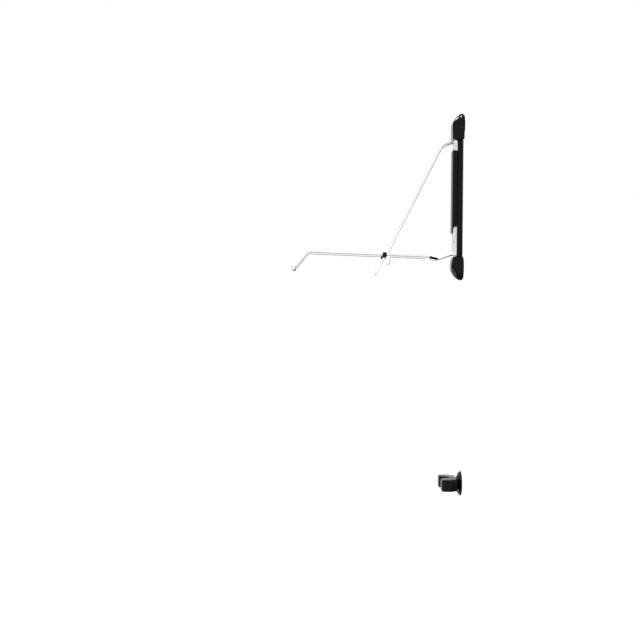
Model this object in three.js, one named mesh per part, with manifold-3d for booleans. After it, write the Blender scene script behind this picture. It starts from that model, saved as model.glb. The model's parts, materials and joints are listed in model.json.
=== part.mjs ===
// Vertical bike stand for a wall: a rack that swivels on two vertical pins, with a fold-up rod cradle for
// the front wheel, two slanting stays, and a separate rest for the rear tyre below it.
//
// Millimetres, +Z up. The wall is the plane X = 0 and the stand reaches towards -X. The origin is the
// middle of the upper wall bracket's back face. "Near" is the -Y side and "far" the +Y side.

import * as THREE from 'three';
import { mergeVertices } from 'three/addons/utils/BufferGeometryUtils.js';
import Module from 'manifold-3d';

const wasm = await Module();
wasm.setup();

// Fits and facets
const gap = 0.3;
const runningGap = 0.6;
const overrun = 5;
const rodSides = 10;
const roundSides = 20;
const arcSteps = 5;
const curveSteps = 12;
const nutSides = 6;
const plateSides = 40;

// Heights of the rack, down from the origin
const rackTop = 45;
const capHeight = 94;
const capToSpine = 1.5;
const spineLength = 410;

// Depths from the wall
const swivelDepth = 17;
const spineFrontDepth = 22;
const bracketFrontDepth = 38.2;
const coverFrontDepth = 41.6;
const capFrontDepth = 44.5;
const hingeDepth = 31;

// Sheet metal and mouldings
const steelSheet = 2;
const wallPlateSheet = 3;
const mouldedWall = 2.6;

// Spine
const spineHalfWidth = 14;
const spineSlotHalfWidth = 4;
const endPlateSheet = 2.5;

// Caps
const capBackHalfWidth = 31.5;
const capFrontHalfWidth = 26;
const capCornerRadius = 8;
const bottomCapHeight = 83;
const capPinHoleRadius = 11.5;
const capScrewDepth = 14;
const capScrewShare = 0.42;
const capDomeStartShare = 0.45;

// Wall brackets
const wallPlateHalfWidth = 18;
const lugHalfWidth = 13;
const lugReach = 27;
const upperCapHeadroom = 21;
const lowerCapHeadroom = 22.1;
const upperWasherToLug = 0.5;
const lowerWasherToLug = 5.5;

// Swivel pins and bushes
const swivelPinRadius = 4;
const swivelPinHeadRadius = 6.5;
const swivelPinHeadHeight = 3;
const bushRadius = 9.5;
const bushSpigotRadius = 5.3;

// Wall screws and washers
const wallScrewRadius = 3;
const wallScrewHeadRadius = 5.5;
const wallScrewHeadHeight = 3.6;
const washerRadius = 6.5;
const washerThickness = 1.4;

// Small screws
const smallScrewRadius = 1.6;
const smallScrewHeadRadius = 3.4;
const smallScrewHeadHeight = 1.8;
const smallScrewLength = 4;
const driveSlotDepth = 0.8;
const driveSlotWidth = 1;

// Hinges
const hingeHalfWidth = 14;
const hingePinRadius = 3;
const hingePinHeadRadius = 5;
const hingePinHeadHeight = 2.2;
const nutHeight = 3;
const nutRadius = 5.4;
const hingeTubeRadius = 5.6;
const earRadius = 6;

// Stay bracket and cradle bracket
const stayHingeDrop = 7;
const stayBracketHeight = 37;
const cradleHingeRise = 7.9;
const cradleBracketTopRise = 106;
const cradleScrewShares = [0.82, 0.27];
const crossPinRise = 41.6;
const crossPinDepth = 34.6;
const crossPinRadius = 1.6;

// Front cover
const coverToBracket = 0.8;
const coverOverBracket = 6.7;
const coverScrewShares = [0.16, 0.84];
const coverLipLength = 27;
const coverHalfWidth = 26;
const coverBackHalfWidth = 17.5;
const coverBackDepth = 24.5;
const coverShoulderDepth = 31;
const coverShoulderHalfWidth = 24.5;
const coverCornerRadius = 5;
const coverArchHeight = 20;
const coverArchReach = 10.8;
const coverTipShare = 0.55;
const coverBossRadius = 5;

// Cradle rod, as distances out from the hinge and drops below it
const cradleRodRadius = 4.8;
const cradleRootHalfGap = 6.4;
const railHalfGap = 48;
const kneeOut = 24;
const kneeDrop = 5.2;
const dipOut = 57;
const dipDrop = 18.5;
const dipHalfGap = 17;
const splayOut = 96;
const splayDrop = 12.5;
const splayHalfGap = 38;
const railStartOut = 138;
const railStartDrop = 9.5;
const railEndOut = 514.5;
const railEndRise = 2;
const frontHookOut = 564;
const frontHookDrop = 57;
const frontHookBend = 17;

// Rear hook and its clips
const rearHookRadius = 3.3;
const rearHookOut = 248;
const rearHookReach = 33;
const rearHookDrop = 79;
const rearHookBend = 16;
const clipLength = 15;
const clipHeight = 18;
const clipHalfWidth = 7.2;
const clipEdge = 2;

// Sleeves on the cradle rod
const rodSleeveWall = 0.6;
const hookSleeveWall = 1.6;
const hookSleeveHalfLength = 22;

// Stays, as distances out from the hinge and drops below it
const stayRadius = 3.7;
const stayRootHalfGap = 6.6;
const stayHalfGap = 36;
const stayLeadOut = 11;
const stayLeadDrop = 2;
const stayKneeOut = 48;
const stayKneeDrop = 16.5;
const stayEndOut = 232.5;
const stayBendRise = 14.6;
const stayFootLength = 46;
const stayBend = 11;

// Stay feet
const footRadius = 6;
const footSleeveLength = 39;
const pegRadius = 4;
const pegOverhang = 1.5;
const pegCollarRadius = 6;
const pegCollarThickness = 2;

// Tyre rest
const tyreRestDrop = 1260.6;
const plateRadius = 43;
const plateRimDepth = 3.5;
const plateCrownDepth = 17;
const plateDomeShares = [[0.84, 0.48], [0.6, 0.85], [0.33, 1.0], [0.0, 1.0]];
const restScrewSink = 4;
const tyreCradleReach = 74;
const tyreCradleHeight = 41;
const tyreCradleHalfWidth = 67;
const tyreMouthGap = 60;
const tyreRootGap = 28;
const tyreCradleFloor = 22;
const tyreCradleRootShare = 0.68;
const tyreCradleFlareShare = 0.42;
const tyreCradleTipShare = 0.95;
const tyreCradleCorner = 14;
const tyreCradleTip = 8;
const tyreChannelCorner = 4;
const tyreCradleEdge = 6;
const padThickness = 4;
const padInset = 3;
const restScrewSpacing = 58;

// Colours and finishes
const blackGloss = new THREE.MeshStandardMaterial({ color: 0x0b0c0d, roughness: 0.18, metalness: 0.0 });
const blackSatin = new THREE.MeshStandardMaterial({ color: 0x141517, roughness: 0.42, metalness: 0.1 });
const blackMatt = new THREE.MeshStandardMaterial({ color: 0x18191b, roughness: 0.6, metalness: 0.0 });
const zinc = new THREE.MeshStandardMaterial({ color: 0xd9dcdf, roughness: 0.28, metalness: 0.9 });
const rubber = new THREE.MeshStandardMaterial({ color: 0x202022, roughness: 0.85, metalness: 0.0 });
const nylon = new THREE.MeshStandardMaterial({ color: 0x2a2b2d, roughness: 0.5, metalness: 0.0 });

// Places worked out from the sizes above
const capBottom = rackTop - capHeight;
const spineTop = capBottom - capToSpine;
const spineBottom = spineTop - spineLength;
const bottomCapTop = spineBottom - capToSpine;
const bottomCapBottom = bottomCapTop - bottomCapHeight;
const stayHinge = { x: -hingeDepth, z: spineTop - stayHingeDrop };
const cradleHinge = { x: -hingeDepth, z: spineBottom + cradleHingeRise };
const spineWebFace = -spineFrontDepth;
const half = 0.5;
const quarterTurn = Math.PI * half;

// A closed geometry as a solid, with shared corners merged.
function solidOf(geometry) {
  const bare = geometry.index ? geometry.toNonIndexed() : geometry.clone();
  bare.deleteAttribute('normal');
  bare.deleteAttribute('uv');
  const merged = mergeVertices(bare);
  return new wasm.Manifold(new wasm.Mesh({
    numProp: 3,
    vertProperties: new Float32Array(merged.attributes.position.array),
    triVerts: new Uint32Array(merged.index.array),
  }));
}

// A solid as a geometry with flat facets.
function geometryOf(solid) {
  const mesh = solid.getMesh();
  const geometry = new THREE.BufferGeometry();
  const step = mesh.numProp;
  const corners = [];
  for (let i = 0; i < mesh.vertProperties.length; i += step) {
    corners.push(mesh.vertProperties[i], mesh.vertProperties[i + 1], mesh.vertProperties[i + 2]);
  }
  geometry.setAttribute('position', new THREE.Float32BufferAttribute(corners, 3));
  geometry.setIndex(Array.from(mesh.triVerts));
  return geometry;
}

const group = new THREE.Group();

// Adds one named piece.
function add(name, shape, material) {
  const geometry = shape.isBufferGeometry ? shape : geometryOf(shape);
  const mesh = new THREE.Mesh(geometry, material);
  mesh.name = name;
  group.add(mesh);
  return mesh;
}

// Points of an outline with each corner rounded by an arc. corners: [x, y, radius].
function rounded(corners) {
  const points = [];
  corners.forEach(([x, y, radius = 0], i) => {
    const corner = new THREE.Vector2(x, y);
    if (radius === 0) {
      points.push(corner);
      return;
    }
    const before = new THREE.Vector2(...corners[(i + corners.length - 1) % corners.length].slice(0, 2));
    const after = new THREE.Vector2(...corners[(i + 1) % corners.length].slice(0, 2));
    const back = before.clone().sub(corner);
    const on = after.clone().sub(corner);
    const turn = Math.abs(back.angleTo(on));
    const reach = Math.min(radius / Math.tan(turn * half), back.length() * half, on.length() * half);
    const start = corner.clone().addScaledVector(back.normalize(), reach);
    const end = corner.clone().addScaledVector(on.normalize(), reach);
    const arc = new THREE.QuadraticBezierCurve(start, corner, end);
    points.push(...arc.getPoints(arcSteps));
  });
  return points;
}

// An outline in X and Z, as thick as halfWidth to either side of Y = 0.
function slabAlongY(points, halfWidth) {
  const flipped = points.map((p) => new THREE.Vector2(p.x, p.y));
  const geometry = new THREE.ExtrudeGeometry(new THREE.Shape(flipped), {
    depth: halfWidth * 2, bevelEnabled: false, curveSegments: curveSteps,
  });
  geometry.rotateX(quarterTurn);
  geometry.translate(0, halfWidth, 0);
  return solidOf(geometry);
}

// An outline in X and Y, from one height to another.
function slabAlongZ(points, low, high) {
  const geometry = new THREE.ExtrudeGeometry(new THREE.Shape(points), {
    depth: high - low, bevelEnabled: false, curveSegments: curveSteps,
  });
  geometry.translate(0, 0, low);
  return solidOf(geometry);
}

// An outline in Y and Z, from one depth to another.
function slabAlongX(points, low, high) {
  const geometry = new THREE.ExtrudeGeometry(new THREE.Shape(points), {
    depth: high - low, bevelEnabled: false, curveSegments: curveSteps,
  });
  geometry.rotateX(quarterTurn);
  geometry.rotateZ(quarterTurn);
  geometry.translate(low, 0, 0);
  return solidOf(geometry);
}

// A block between two corners.
function block(low, high) {
  const size = high.map((v, i) => v - low[i]);
  const middle = high.map((v, i) => (v + low[i]) * half);
  const geometry = new THREE.BoxGeometry(...size);
  geometry.translate(...middle);
  return solidOf(geometry);
}

// A round bar between two points.
function bar(from, to, radius, sides = roundSides) {
  const start = new THREE.Vector3(...from);
  const end = new THREE.Vector3(...to);
  const length = start.distanceTo(end);
  const geometry = new THREE.CylinderGeometry(radius, radius, length, sides);
  const way = end.clone().sub(start).normalize();
  geometry.applyQuaternion(new THREE.Quaternion().setFromUnitVectors(new THREE.Vector3(0, 1, 0), way));
  const middle = start.add(end).multiplyScalar(half);
  geometry.translate(middle.x, middle.y, middle.z);
  return solidOf(geometry);
}

// The line of a bent rod: straight runs with an arc at each corner, and a station only where it turns.
class BentLine extends THREE.Curve {
  constructor(corners, bend) {
    super();
    this.stations = [];
    this.ways = [];
    corners.forEach((corner, i) => {
      const before = corners[i - 1];
      const after = corners[i + 1];
      if (!before || !after) {
        const way = before ? corner.clone().sub(before) : after.clone().sub(corner);
        this.stations.push(corner);
        this.ways.push(way.normalize());
        return;
      }
      const come = corner.clone().sub(before);
      const leave = after.clone().sub(corner);
      const turn = come.angleTo(leave);
      const room = Math.min(come.length(), leave.length()) * half;
      const reach = Math.min(bend * Math.tan(turn * half), room);
      const start = corner.clone().addScaledVector(come.normalize(), -reach);
      const end = corner.clone().addScaledVector(leave.normalize(), reach);
      const arc = new THREE.QuadraticBezierCurve3(start, corner, end);
      const steps = Math.max(2, Math.round(arcSteps * turn / quarterTurn) + 1);
      for (let k = 0; k <= steps; k += 1) {
        this.stations.push(arc.getPoint(k / steps));
        this.ways.push(arc.getTangent(k / steps));
      }
    });
  }

  index(u) {
    return Math.round(u * (this.stations.length - 1));
  }

  getPointAt(u) {
    return this.stations[this.index(u)].clone();
  }

  getTangentAt(u) {
    return this.ways[this.index(u)].clone();
  }
}

// A bent round rod along a list of corners.
function rod(corners, radius, bend, sides = rodSides) {
  const line = new BentLine(corners.map((c) => new THREE.Vector3(...c)), bend);
  const ring = [];
  for (let k = 0; k < sides; k += 1) {
    const angle = (k + half) * 2 * Math.PI / sides;
    ring.push(new THREE.Vector2(radius * Math.cos(angle), radius * Math.sin(angle)));
  }
  const geometry = new THREE.ExtrudeGeometry(new THREE.Shape(ring), {
    steps: line.stations.length - 1, extrudePath: line, bevelEnabled: false,
  });
  return solidOf(geometry);
}

// A screw along a unit way, its head's underside at seat and its shank reaching back from it.
function screw(seat, way, shankRadius, shankLength, headRadius, headHeight) {
  const out = new THREE.Vector3(...way);
  const at = (distance) => new THREE.Vector3(...seat).addScaledVector(out, distance).toArray();
  const head = bar(at(0), at(headHeight), headRadius);
  const shank = bar(at(-shankLength), at(headHeight * half), shankRadius);
  const side = Math.abs(out.z) > half ? new THREE.Vector3(1, 0, 0) : new THREE.Vector3(0, 0, 1);
  const across = new THREE.Vector3().crossVectors(side, out);
  const slot = new THREE.BoxGeometry(driveSlotWidth, (headRadius + overrun) * 2, driveSlotDepth * 2);
  const turn = new THREE.Matrix4().makeBasis(across, side, out);
  const place = new THREE.Vector3(...at(headHeight));
  slot.applyMatrix4(turn.setPosition(place));
  return head.add(shank).subtract(solidOf(slot));
}

// Caps
// Each cap is where three outlines meet: its side profile, its plan and its front view.
function capPlan(inset) {
  const back = capBackHalfWidth - inset;
  const front = capFrontHalfWidth - inset;
  const depth = capFrontDepth - inset;
  const corner = capCornerRadius - inset;
  return rounded([[overrun, back], [-depth, front, corner], [-depth, -front, corner], [overrun, -back]]);
}

const topCapProfileShares = [
  [0.0, 0.93], [0.1, 0.985], [0.2, 1.0], [0.42, 0.94], [0.68, 0.81], [0.88, 0.64], [0.965, 0.55],
  [1.0, 0.42], [1.0, 0.05], [0.97, 0.0], [0.0, 0.0],
];
const bottomCapProfileShares = [
  [0.0, 0.0], [0.82, 0.0], [0.93, 0.09], [1.0, 0.2], [1.0, 0.55], [0.93, 0.67], [0.79, 0.77],
  [0.52, 0.93], [0.26, 1.0], [0.1, 0.985], [0.0, 0.94],
];

function capSolid(profileShares, level, height, domeUp, inset) {
  const depth = capFrontDepth - inset;
  const tall = height - inset * 2;
  const base = level + inset * domeUp;
  const rise = tall * domeUp;
  const profile = profileShares.map(([out, up]) => new THREE.Vector2(-depth * out, base + rise * up));
  const back = new THREE.Vector2(overrun, 0);
  const ends = [profile[0], profile[profile.length - 1]];
  const behind = ends.map((p) => new THREE.Vector2(back.x, p.y));
  const outline = [...profile, behind[1], behind[0]];
  const side = slabAlongY(outline, capBackHalfWidth);
  const plan = slabAlongZ(capPlan(inset), base - overrun - height, base + overrun + height);
  const wide = capBackHalfWidth - inset;
  const face = [new THREE.Vector2(-wide, base), new THREE.Vector2(wide, base)];
  for (let k = 0; k <= curveSteps; k += 1) {
    const angle = Math.PI * k / curveSteps;
    const share = capDomeStartShare + (1 - capDomeStartShare) * Math.sin(angle);
    face.push(new THREE.Vector2(wide * Math.cos(angle), base + rise * share));
  }
  const front = slabAlongX(face, -capFrontDepth - overrun, overrun * 2);
  return side.intersect(plan).intersect(front);
}

const wallSide = block(
  [0, -capBackHalfWidth - overrun, bottomCapBottom - overrun],
  [overrun * 3, capBackHalfWidth + overrun, rackTop + overrun],
);

function cap(profileShares, level, height, domeUp) {
  const outer = capSolid(profileShares, level, height, domeUp, 0).subtract(wallSide);
  const inner = capSolid(profileShares, level, height, domeUp, mouldedWall);
  const pinHole = bar(
    [-swivelDepth, 0, level - overrun * domeUp],
    [-swivelDepth, 0, level + (mouldedWall + overrun) * domeUp],
    capPinHoleRadius,
  );
  return outer.subtract(inner).subtract(pinHole);
}

function sideOfCapAt(depth) {
  const share = (depth + overrun) / (capFrontDepth + overrun);
  return capBackHalfWidth + (capFrontHalfWidth - capBackHalfWidth) * share;
}

function capWithScrewHoles(solid, height) {
  let cut = solid;
  for (const side of [-1, 1]) {
    const y = side * (sideOfCapAt(capScrewDepth) + overrun);
    const inside = side * (sideOfCapAt(capScrewDepth) - mouldedWall - overrun);
    cut = cut.subtract(bar([-capScrewDepth, inside, height], [-capScrewDepth, y, height],
      smallScrewRadius + gap));
  }
  return cut;
}

const topCapScrewHeight = capBottom + capHeight * capScrewShare;
const bottomCapScrewHeight = bottomCapTop - bottomCapHeight * capScrewShare;
const topCapSolid = cap(topCapProfileShares, capBottom, capHeight, 1);
const bottomCapSolid = cap(bottomCapProfileShares, bottomCapTop, bottomCapHeight, -1);
add('top_cap', capWithScrewHoles(topCapSolid, topCapScrewHeight), blackGloss);
add('bottom_cap', capWithScrewHoles(bottomCapSolid, bottomCapScrewHeight), blackGloss);

for (const [end, height] of [['top', topCapScrewHeight], ['bottom', bottomCapScrewHeight]]) {
  for (const [name, side] of [['near', -1], ['far', 1]]) {
    const wallUnderHead = sideOfCapAt(capScrewDepth - smallScrewHeadRadius);
    const seat = [-capScrewDepth, side * (wallUnderHead + gap), height];
    const piece = screw(seat, [0, side, 0], smallScrewRadius, smallScrewLength, smallScrewHeadRadius,
      smallScrewHeadHeight);
    add(`${end}_cap_screw_${name}`, piece, blackSatin);
  }
}

// Wall brackets
// A back plate with a lug at each end; the swivel pin stands in both lugs.
function wallBracket(name, low, high, screwHeights) {
  const outline = [
    [0, low], [0, high], [-lugReach, high], [-lugReach, high - wallPlateSheet],
    [-wallPlateSheet, high - wallPlateSheet], [-wallPlateSheet, low + wallPlateSheet],
    [-lugReach, low + wallPlateSheet], [-lugReach, low],
  ].map(([x, z]) => new THREE.Vector2(x, z));
  let solid = slabAlongY(outline, wallPlateHalfWidth);
  for (const side of [-1, 1]) {
    const edge = [side * lugHalfWidth, side * (wallPlateHalfWidth + overrun)].sort((a, b) => a - b);
    solid = solid.subtract(block(
      [-lugReach - overrun, edge[0], low - overrun],
      [-wallPlateSheet, edge[1], high + overrun],
    ));
  }
  solid = solid.subtract(bar(
    [-swivelDepth, 0, low - overrun],
    [-swivelDepth, 0, high + overrun],
    swivelPinRadius + gap,
  ));
  screwHeights.forEach((z, i) => {
    solid = solid.subtract(bar([-wallPlateSheet - overrun, 0, z], [overrun, 0, z], wallScrewRadius + gap));
    const washerFace = -wallPlateSheet - gap;
    const washer = bar([washerFace, 0, z], [washerFace - washerThickness, 0, z], washerRadius)
      .subtract(bar([washerFace + overrun, 0, z], [washerFace - overrun, 0, z], wallScrewRadius + gap));
    add(`${name}_wall_washer_${i + 1}`, washer, zinc);
    const seat = [washerFace - washerThickness - gap, 0, z];
    const piece = screw(seat, [-1, 0, 0], wallScrewRadius, -seat[0], wallScrewHeadRadius,
      wallScrewHeadHeight);
    add(`${name}_wall_screw_${i + 1}`, piece, zinc);
  });
  add(`${name}_wall_bracket`, solid, blackSatin);
}

// Each cap's floor rests on the bracket's inner lug.
const upperLugFace = capBottom + mouldedWall + gap;
const lowerLugFace = bottomCapTop - mouldedWall - gap;
const upperBracketTop = rackTop - upperCapHeadroom;
const lowerBracketBottom = bottomCapBottom + lowerCapHeadroom;
const upperScrewOffset = upperBracketTop - wallPlateSheet - upperWasherToLug - washerRadius;
const lowerBracketMiddle = (lowerLugFace + lowerBracketBottom) * half;
const lowerBracketHalf = (lowerLugFace - lowerBracketBottom) * half;
const lowerScrewOffset = lowerBracketHalf - wallPlateSheet - lowerWasherToLug - washerRadius;
wallBracket('upper', upperLugFace, upperBracketTop, [upperScrewOffset, -upperScrewOffset]);
wallBracket('lower', lowerBracketBottom, lowerLugFace,
  [lowerBracketMiddle + lowerScrewOffset, lowerBracketMiddle - lowerScrewOffset]);

// Swivel pins and bushes
// way is +1 where the bracket is above the spine and -1 where it is below.
function swivel(name, lugFace, farLugFace, spineEnd, way) {
  const head = farLugFace + gap * way;
  const tip = spineEnd - (endPlateSheet + overrun) * way;
  const shank = bar([-swivelDepth, 0, tip], [-swivelDepth, 0, head + swivelPinHeadHeight * half * way],
    swivelPinRadius);
  const cap = bar([-swivelDepth, 0, head], [-swivelDepth, 0, head + swivelPinHeadHeight * way],
    swivelPinHeadRadius);
  add(`${name}_swivel_pin`, shank.add(cap), zinc);
  const top = lugFace - gap * way;
  const seat = spineEnd + gap * way;
  const body = bar([-swivelDepth, 0, top], [-swivelDepth, 0, seat], bushRadius);
  const spigot = bar([-swivelDepth, 0, top], [-swivelDepth, 0, seat - (gap + endPlateSheet) * way],
    bushSpigotRadius);
  const bore = bar([-swivelDepth, 0, top + overrun * way], [-swivelDepth, 0, tip - overrun * way],
    swivelPinRadius + gap);
  add(`${name}_swivel_bush`, body.add(spigot).subtract(bore), nylon);
}

swivel('upper', upperLugFace, upperBracketTop, spineTop, 1);
swivel('lower', lowerLugFace, lowerBracketBottom, spineBottom, -1);

// Spine
// A hollow section, flat in front and round behind, with a slot to the wall and a plate across each end.
// Its round back is turned about the swivel pins, so that it stays clear of the wall as the rack turns.
const stayBracketTop = stayHinge.z + earRadius;
const stayBracketBottom = stayBracketTop - stayBracketHeight;
const stayScrewHeight = stayHinge.z - stayBracketHeight * half;
const cradleBracketTop = cradleHinge.z + cradleBracketTopRise;
const cradleScrewHeights = cradleScrewShares.map((share) => cradleHinge.z + cradleBracketTopRise * share);
const coverTop = stayBracketBottom - coverToBracket;
const coverBottom = cradleBracketTop - coverOverBracket;
const coverTip = coverBottom - coverLipLength;
const coverScrewHeights = coverScrewShares.map((share) => coverTop + (coverBottom - coverTop) * share);
const webScrewHole = smallScrewRadius + gap;

function roundBacked(front, halfWidth, low, high) {
  const round = bar([-swivelDepth, 0, low], [-swivelDepth, 0, high], halfWidth, roundSides);
  const back = round.intersect(block([-swivelDepth, -halfWidth, low], [0, halfWidth, high]));
  return block([front, -halfWidth, low], [-swivelDepth, halfWidth, high]).add(back);
}

function spineSolid() {
  const low = spineBottom + endPlateSheet;
  const high = spineTop - endPlateSheet;
  const outer = roundBacked(-spineFrontDepth, spineHalfWidth, spineBottom, spineTop);
  const inner = roundBacked(-spineFrontDepth + steelSheet, spineHalfWidth - steelSheet, low, high)
    .add(block([-swivelDepth, -spineSlotHalfWidth, low], [0, spineSlotHalfWidth, high]));
  let solid = outer.subtract(inner);
  solid = solid.subtract(bar([-swivelDepth, 0, spineBottom - overrun],
    [-swivelDepth, 0, spineTop + overrun], bushSpigotRadius + gap, roundSides));
  for (const z of [stayScrewHeight, ...cradleScrewHeights, ...coverScrewHeights]) {
    solid = solid.subtract(bar([spineWebFace - overrun, 0, z],
      [spineWebFace + steelSheet + overrun * half, 0, z], webScrewHole));
  }
  return solid;
}

add('spine', spineSolid(), blackSatin);

// Hinge brackets
// A channel open to the front whose sides end in an ear round the hinge pin.
function hingeBracket(name, hinge, top, bottom, screwHeights) {
  const back = spineWebFace - gap;
  const sides = slabAlongY(rounded([
    [back, top, 0], [-bracketFrontDepth, top, earRadius], [-bracketFrontDepth, bottom, earRadius],
    [back, bottom, 0],
  ]), hingeHalfWidth);
  const inner = block(
    [-bracketFrontDepth - overrun, -hingeHalfWidth + steelSheet, bottom - overrun],
    [back - steelSheet, hingeHalfWidth - steelSheet, top + overrun],
  );
  const pinHole = bar([hinge.x, -hingeHalfWidth - overrun, hinge.z],
    [hinge.x, hingeHalfWidth + overrun, hinge.z], hingePinRadius + gap);
  let solid = sides.subtract(inner).subtract(pinHole);
  screwHeights.forEach((z, i) => {
    solid = solid.subtract(bar([back - steelSheet - overrun, 0, z], [back + overrun, 0, z], webScrewHole));
    const suffix = screwHeights.length > 1 ? `_${['upper', 'lower'][i]}` : '';
    const piece = screw([back - steelSheet - gap, 0, z], [-1, 0, 0], smallScrewRadius,
      steelSheet * 2 + gap * 2, smallScrewHeadRadius, smallScrewHeadHeight);
    add(`${name}_screw${suffix}`, piece, zinc);
  });
  return solid;
}

const stayBracketSolid = hingeBracket('stay_bracket', stayHinge, stayBracketTop, stayBracketBottom,
  [stayScrewHeight]);
add('stay_bracket', stayBracketSolid, zinc);

const cradleBracketBottom = cradleHinge.z - earRadius;
const crossPinHeight = cradleHinge.z + crossPinRise;
const crossPinHole = bar([-crossPinDepth, -hingeHalfWidth - overrun, crossPinHeight],
  [-crossPinDepth, hingeHalfWidth + overrun, crossPinHeight], crossPinRadius + gap);
const cradleBracketSolid = hingeBracket('cradle_bracket', cradleHinge, cradleBracketTop,
  cradleBracketBottom, cradleScrewHeights);
add('cradle_bracket', cradleBracketSolid.subtract(crossPinHole), zinc);
const stopEnd = hingeHalfWidth + crossPinRadius;
add('bracket_cross_pin', bar([-crossPinDepth, -stopEnd, crossPinHeight],
  [-crossPinDepth, stopEnd, crossPinHeight], crossPinRadius), blackSatin);

// Hinge pins, nuts and tubes
function hingePin(name, hinge) {
  const outer = hingeHalfWidth + gap;
  const shank = bar([hinge.x, -outer - hingePinHeadHeight * half, hinge.z],
    [hinge.x, outer + nutHeight + gap, hinge.z], hingePinRadius);
  const head = bar([hinge.x, -outer - hingePinHeadHeight, hinge.z], [hinge.x, -outer, hinge.z],
    hingePinHeadRadius);
  add(`${name}_hinge_pin`, shank.add(head), zinc);
  const nut = bar([hinge.x, outer, hinge.z], [hinge.x, outer + nutHeight, hinge.z], nutRadius, nutSides)
    .subtract(bar([hinge.x, outer - overrun, hinge.z], [hinge.x, outer + nutHeight + overrun, hinge.z],
      hingePinRadius + gap));
  add(`${name}_pin_nut`, nut, zinc);
  const tubeEnd = hingeHalfWidth - steelSheet - gap;
  const tube = bar([hinge.x, -tubeEnd, hinge.z], [hinge.x, tubeEnd, hinge.z], hingeTubeRadius)
    .subtract(bar([hinge.x, -tubeEnd - overrun, hinge.z], [hinge.x, tubeEnd + overrun, hinge.z],
      hingePinRadius + gap));
  add(`${name}_hinge_tube`, tube, zinc);
  return bar([hinge.x, -hingeHalfWidth, hinge.z], [hinge.x, hingeHalfWidth, hinge.z],
    hingeTubeRadius + gap);
}

const roundStayTube = hingePin('stay', stayHinge);
const roundCradleTube = hingePin('cradle', cradleHinge);

// Front cover
// A shell that opens to the wall, with arched lower sides and a lip in front.
function coverPlan(inset) {
  const front = coverHalfWidth - inset;
  const shoulder = coverShoulderHalfWidth - inset;
  const back = coverBackHalfWidth - inset;
  const corner = Math.max(coverCornerRadius - inset, inset * half);
  const right = [
    [-coverBackDepth + inset, back], [-coverShoulderDepth, shoulder, corner],
    [-coverFrontDepth + inset, front, corner],
  ];
  const left = right.map(([x, y, r]) => [x, -y, r]).reverse();
  return rounded([...right, ...left]);
}

function frontCover() {
  const outer = slabAlongZ(coverPlan(0), coverTip, coverTop);
  const inner = slabAlongZ(coverPlan(mouldedWall), coverTip - overrun, coverTop - mouldedWall);
  const archFront = -coverFrontDepth + mouldedWall * 2;
  const arch = [new THREE.Vector2(overrun, coverTip - overrun)];
  arch.push(new THREE.Vector2(-coverFrontDepth + mouldedWall, coverTip - overrun));
  arch.push(new THREE.Vector2(-coverFrontDepth + mouldedWall, coverTip));
  for (let k = 0; k <= curveSteps; k += 1) {
    const angle = quarterTurn * k / curveSteps;
    const x = archFront + coverArchReach * Math.sin(angle);
    const rise = coverBottom - coverTip;
    arch.push(new THREE.Vector2(x, coverTip + rise * Math.sin(angle)));
  }
  arch.push(new THREE.Vector2(-coverBackDepth, coverBottom - coverArchHeight * half));
  arch.push(new THREE.Vector2(overrun, coverBottom - coverArchHeight));
  const archCut = slabAlongY(arch, coverHalfWidth + overrun);
  let solid = outer.subtract(inner).subtract(archCut);
  const tipHalfWidth = coverHalfWidth * coverTipShare;
  for (const side of [-1, 1]) {
    const taper = [[side * (coverHalfWidth + overrun), coverTip - overrun],
      [side * (coverHalfWidth + overrun), coverBottom], [side * coverHalfWidth, coverBottom],
      [side * tipHalfWidth, coverTip - overrun]].map(([y, z]) => new THREE.Vector2(y, z));
    const outline = side > 0 ? taper : taper.reverse();
    solid = solid.subtract(slabAlongX(outline, -coverFrontDepth - overrun, -coverBackDepth + overrun));
  }
  for (const z of coverScrewHeights) {
    solid = solid.add(coverBoss(z));
  }
  return solid;
}

function coverBoss(z) {
  const front = [-coverFrontDepth + mouldedWall * half, 0, z];
  const boss = bar(front, [spineWebFace - gap, 0, z], coverBossRadius);
  return boss.subtract(bar([spineWebFace + overrun, 0, z],
    [-coverFrontDepth + mouldedWall * 2, 0, z], webScrewHole));
}

add('front_cover', frontCover(), blackSatin);
coverScrewHeights.forEach((z, i) => {
  const seat = [spineWebFace + steelSheet + gap, 0, z];
  const piece = screw(seat, [1, 0, 0], smallScrewRadius, steelSheet + gap * 2 + smallScrewLength,
    smallScrewHeadRadius, smallScrewHeadHeight);
  add(`cover_screw_${['upper', 'lower'][i]}`, piece, zinc);
});

// Wheel cradle
function fromHinge(hinge, out, drop) {
  return [hinge.x - out, hinge.z - drop];
}

// One side of the cradle's rod, from the hinge tube to the front hook, at side -1 or +1.
function cradleSide(side) {
  const stations = [
    [hingeTubeRadius * half, 0, cradleRootHalfGap],
    [kneeOut, kneeDrop, cradleRootHalfGap],
    [dipOut, dipDrop, dipHalfGap],
    [splayOut, splayDrop, splayHalfGap],
    [railStartOut, railStartDrop, railHalfGap],
    [railEndOut, -railEndRise, railHalfGap],
    [frontHookOut, frontHookDrop, railHalfGap],
  ];
  return stations.map(([out, drop, y]) => {
    const [x, z] = fromHinge(cradleHinge, out, drop);
    return [x, y * side, z];
  });
}

const cradleCorners = [...cradleSide(-1), ...cradleSide(1).reverse()];
const cradleRodSolid = rod(cradleCorners, cradleRodRadius, frontHookBend).subtract(roundCradleTube);
add('cradle_rod', cradleRodSolid, zinc);

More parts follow.
